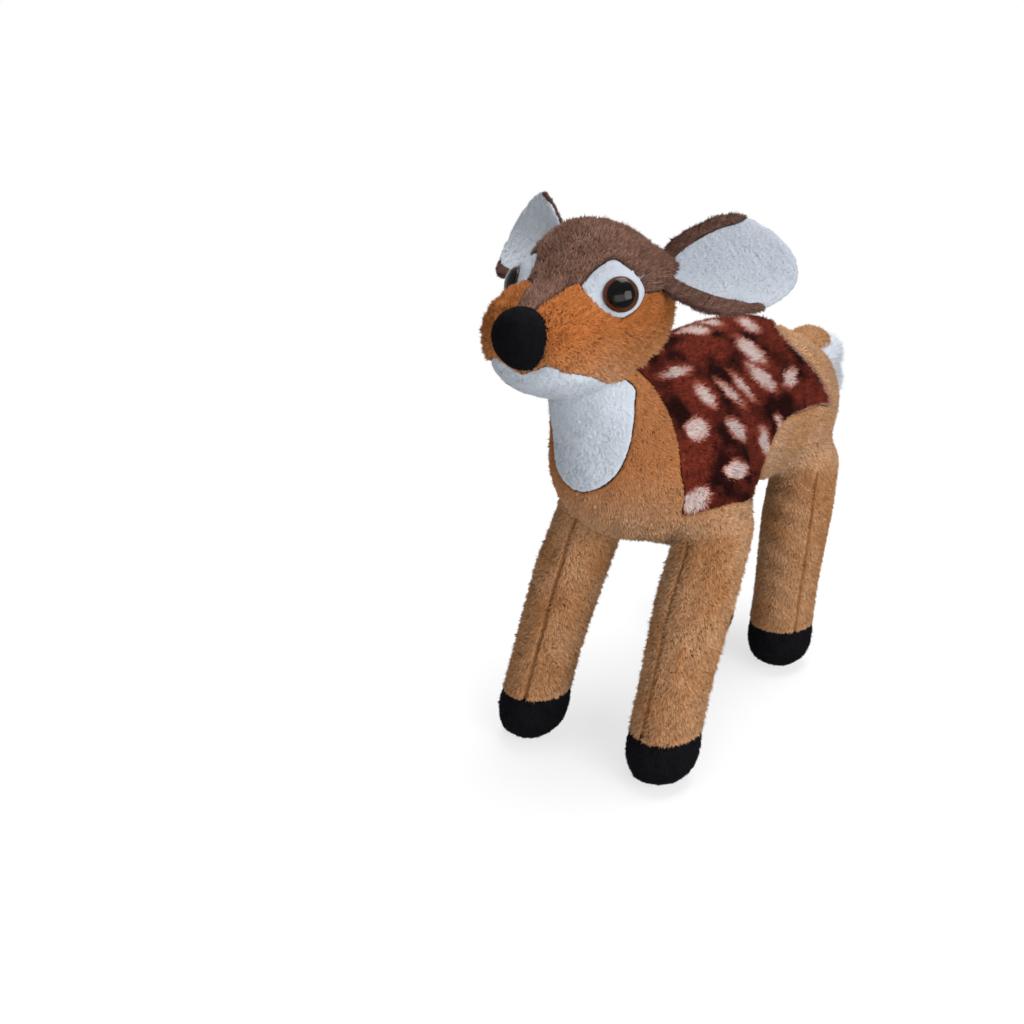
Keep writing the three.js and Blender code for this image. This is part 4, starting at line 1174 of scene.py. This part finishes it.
# Ears: a brown back and a white lining, sewn edge to edge as one cupped leaf.
# The leaf is sewn into the head by its root and filled only with its own cloth.
EAR_GRAIN = 0.0013
EAR_LENGTH = 0.062
EAR_WIDTH = 0.048
EAR_CUP = 0.009
EAR_ROOT_CURL = 0.8
EAR_BACK_DEPTH = 0.0024
EAR_FRONT_DEPTH = 0.0019
EAR_ROOT_SINK = 0.004
EAR_SWEEP = {"left": math.radians(20), "right": math.radians(24)}
EAR_LIFT = {"left": math.radians(-2), "right": math.radians(8)}
EAR_OPEN = math.radians(32)
EAR_HEM = 0.0006
EAR_PILE, EAR_LEAN = 0.0022, 50
EAR_SEAM_REACH = 0.001
EAR_SEAM_DEPTH = 0.6
EAR_LINING_WRAPS = 0.0018
RIGHT_LINING_WIDER = 0.006

# Pairs of a share of the ear's length and a share of its width there. The right ear's width is
# multiplied by the second ones, because that ear narrows toward its root.
EAR_WIDTH_SHARES = (
    (0, 0.9), (0.14, 0.87), (0.27, 0.88), (0.4, 0.96), (0.55, 1.02), (0.75, 0.98), (1, 0.94),
)
RIGHT_EAR_NARROWS = ((0.15, 0.78), (0.5, 1))

# Pixels of the photograph that the left ear's lining seam passes through
LINING_PIXELS = [
    (668, 266), (681, 251), (700, 238), (718, 229), (742, 221), (765, 205), (805, 215), (815, 260),
    (805, 300), (775, 318), (762, 304), (747, 303), (718, 297), (693, 288), (674, 278),
]
# A darker copy of the brown plush as painted shade, for the ears' backs.
painted_shade_ear_brown = plush_material("painted_shade_ear_brown_plush", "#30201B", "#87665A", "#6E5145", "#281B17")


# Each ear has a frame at its fold, with X along the ear and Z the way that its lining faces.
def ear_frame(side_name):
    way = 1 if side_name == "left" else -1
    sweep, lift = EAR_SWEEP[side_name], EAR_LIFT[side_name]
    level = math.cos(lift)
    out = Vector((way * math.cos(sweep) * level, math.sin(sweep) * level, math.sin(lift)))
    ahead = out.cross(Vector((0, 0, 1))).normalized() * way
    above = ahead.cross(out) * way
    facing = ahead * math.cos(EAR_OPEN) + above * math.sin(EAR_OPEN)
    turn = Matrix((out, facing.cross(out), facing)).transposed().to_4x4()
    return Matrix.Translation(pivot_of(f"ear_{side_name}_fold")) @ turn


ear_frames = {side_name: ear_frame(side_name) for side_name in side_names}


# How far the cup of the ear has lifted a place, by its share of the length and its place across
def ear_cup(share, across):
    return EAR_CUP * (1 + EAR_ROOT_CURL * (1 - share) ** 2) * (across / (EAR_WIDTH / 2)) ** 2


def ear_form(side_name):
    bm = bmesh.new()
    bmesh.ops.create_uvsphere(bm, u_segments=40, v_segments=32, radius=1)
    for vertex in bm.verts:
        across, thick, along = vertex.co
        share = (1 + along) / 2
        across *= np.interp(share, *zip(*EAR_WIDTH_SHARES)) * EAR_WIDTH / 2
        across *= 1 if side_name == "left" else np.interp(share, *zip(*RIGHT_EAR_NARROWS))
        thick = math.copysign(math.sqrt(abs(thick)), thick)
        depth = EAR_FRONT_DEPTH if thick > 0 else EAR_BACK_DEPTH
        vertex.co = (
            -EAR_ROOT_SINK + share * (EAR_LENGTH + EAR_ROOT_SINK), across,
            ear_cup(share, across) + thick * depth,
        )
    bmesh.ops.recalc_face_normals(bm, faces=bm.faces)
    bmesh.ops.transform(bm, matrix=ear_frames[side_name], verts=bm.verts)
    return rounded("ear_form", bm, EAR_GRAIN, rounds=3, levels=1, let_out=0)


# The lining's seam is read on the left ear. The right ear's is its mirror image, wider at the root.
# Toward the tip the lining wraps a little round the edge.
def lining_field(side_name):
    line = seam_field(LINING_PIXELS)
    way = 1 if side_name == "left" else -1
    left = np.array(ear_frames["left"])

    def field(points):
        local = in_frame(points, ear_frames[side_name])
        share = np.clip(local[:, 0] / EAR_LENGTH, 0, 1)
        before = local[:, 2] - ear_cup(share, local[:, 1]) + EAR_LINING_WRAPS * share ** 2
        local[:, 1] *= way
        wider = 0 if side_name == "left" else RIGHT_LINING_WIDER * (1 - share)
        return np.minimum(line(local @ left[:3, :3].T + left[:3, 3]) + wider, before)
    return field


# Both linings are one white cloth. The left takes the white with painted shade, and the right takes
# the paler tail white as painted light.
ear_white = {"left": painted_shade_white, "right": tail_white_and_painted_light}
for side_name in side_names:
    form = ear_form(side_name)
    lining_seam = lining_field(side_name)
    ear_grooves = groove_of(lining_seam, reach=EAR_SEAM_REACH, depth=EAR_SEAM_DEPTH)
    snap_to_seam(form.data, lining_seam)
    lined = lining_seam(face_middles(form.data)) > 0
    ear_out = np.array(ear_frames[side_name])[:3, 0]
    for part, keep, length, lean, material, slot in (
        ("ear_back", ~lined, EAR_PILE, EAR_LEAN, painted_shade_ear_brown, "brown_plush"),
        ("ear_lining", lined, VELVET_PILE, VELVET_LEAN, ear_white[side_name], "white_plush"),
    ):
        piece = plush_piece(
            f"{part}_plush_{side_name}", form, keep, lambda p: np.tile(ear_out, (len(p), 1)),
            ear_grooves, length, lean, hem=EAR_HEM,
        )
        piece.data.materials.append(material)
        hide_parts(f"{part}_{side_name}")
        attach(piece, f"ear_{side_name}")
    bpy.data.objects.remove(form)
